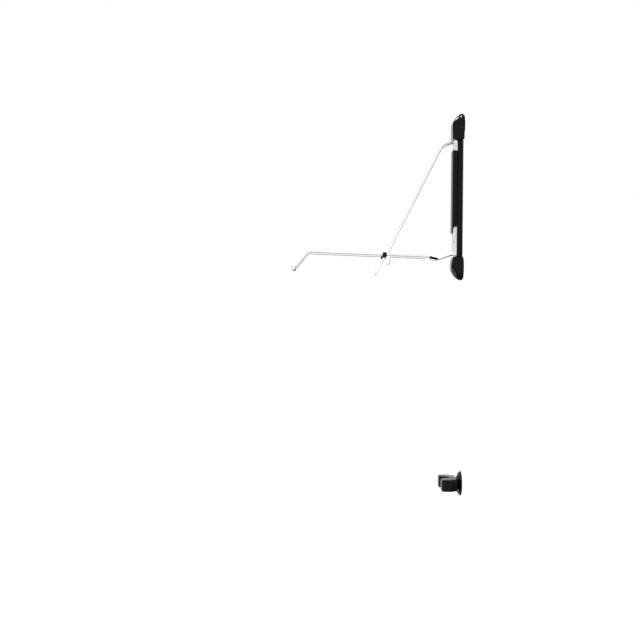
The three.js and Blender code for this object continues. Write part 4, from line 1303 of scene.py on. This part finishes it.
def screw_ends(name, axis):
    """A screw node's tip, the top of its head on the side where the node is widest, and its height."""
    start, end = run_of(name, axis)
    index = "xyz".index(axis)
    wide = radius_of(name, axis) * HEAD_IS_WIDER_THAN
    head_levels = []
    for vertex in nodes[name].data.vertices:
        offset = vertex.co - (start + end) / 2
        if (offset - offset.project(end - start)).length > wide:
            head_levels.append(vertex.co[index])
    lowest, highest = min(head_levels), max(head_levels)
    head_is_low = lowest - start[index] < end[index] - highest
    tip, top = (end, start) if head_is_low else (start, end)
    return tip, top, highest - lowest


print("a recess is", CROSS_DEPTH_SHARE, "of its head deep")

# %% Screws
SCREW_STEPS = 32
SHANK_SHARE = 0.5
HEAD_EDGE_ROUNDING = 0.0002
HEAD_SIDE_SHARE = 0.45
HEAD_TOP_SHARE = 0.55


def screw(name, axis):
    """A domed screw in the place of a node."""
    tip, top, head_height = screw_ends(name, axis)
    head_radius = radius_of(name, axis)
    shank = head_radius * SHANK_SHARE
    length = (top - tip).length
    neck = length - head_height
    profile = eased([
        (0, 0, 0), (shank / 2, 0, 0), (shank, shank, 0), (shank, neck, 0),
        (head_radius, neck, HEAD_EDGE_ROUNDING),
        (head_radius, neck + head_height * HEAD_SIDE_SHARE, head_height / 3),
        (head_radius * HEAD_TOP_SHARE, length, head_height / 2), (0, length, 0),
    ])
    piece = turned(profile, tip, top - tip, SCREW_STEPS)
    for bar in cross_cutter(top, (top - tip).normalized(), head_radius, head_height * CROSS_DEPTH_SHARE):
        combined(piece, bar)
    stand_in(piece, name)


cap_screws = [name for name in nodes if "cap_screw" in name]
other_screws = [name for name in nodes if "_screw" in name and name not in cap_screws]
for axis, names in (("x", other_screws), ("y", cap_screws)):
    for name in names:
        screw(name, axis)
print("screws:", len(other_screws) + len(cap_screws))

# %% Nuts
NUT_EDGE_BREAK = 0.0005
for name in ("stay_pin_nut", "cradle_pin_nut"):
    start, end = run_of(name, "y")
    everything_deselected()
    bpy.ops.mesh.primitive_cylinder_add(
        vertices=6, radius=radius_of(name, "y"), depth=(end - start).length, location=(start + end) / 2,
        rotation=(math.pi / 2, 0, 0))
    nut = bpy.context.object
    placed()
    edges_broken(nut, NUT_EDGE_BREAK, segments=3, sharper_than=30)
    stand_in(nut, name)
print("nuts made")

# %% [markdown]
# ## Pieces that keep the frame's own shape
# The wall brackets, the stays' feet and the hook's clips already have the right shape in the frame. What
# they lack is a broken edge. A copy of each mesh is merged, its flat faces are joined again, and a bevel
# rounds its edges. The feet's lower ends are closed and nearly half round, so they get a larger one first.

# %% Softened copies
COPY_MERGE_BELOW = 0.000002
FLAT_BELOW = math.radians(1)
FOOT_END_RADIUS = 0.0054
FOOT_END_SEGMENTS = 7
SOFT_EDGES = {
    "upper_wall_bracket": 0.0006, "lower_wall_bracket": 0.0006, "bracket_cross_pin": 0.0004,
    "near_stay_foot": 0.0005, "far_stay_foot": 0.0005, "near_hook_clip": 0.0009, "far_hook_clip": 0.0009,
}


def softened(node, width):
    """A copy of a node's mesh with its edges rounded."""
    everything_deselected()
    piece = bpy.data.objects.new(node, nodes[node].data.copy())
    bpy.context.scene.collection.objects.link(piece)
    piece.select_set(True)
    bpy.context.view_layer.objects.active = piece
    opened()
    bpy.ops.mesh.remove_doubles(threshold=COPY_MERGE_BELOW)
    bpy.ops.mesh.select_all(action="SELECT")
    bpy.ops.mesh.dissolve_limited(angle_limit=FLAT_BELOW)
    if node.endswith("stay_foot"):
        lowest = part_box(node)[0].z
        select_where(piece, "EDGE", both_ends(lambda place: place.z < lowest + SAME_PLACE))
        bpy.ops.mesh.bevel(offset=FOOT_END_RADIUS, segments=FOOT_END_SEGMENTS)
    bpy.ops.object.mode_set(mode="OBJECT")
    edges_broken(piece, width, segments=3, sharper_than=40)
    return stand_in(piece, node, turn_out=False)


for name, width in SOFT_EDGES.items():
    piece = softened(name, width)
    print(name, len(piece.data.polygons), "faces")

# %% [markdown]
# ## End

# %% End
print("dressing done")
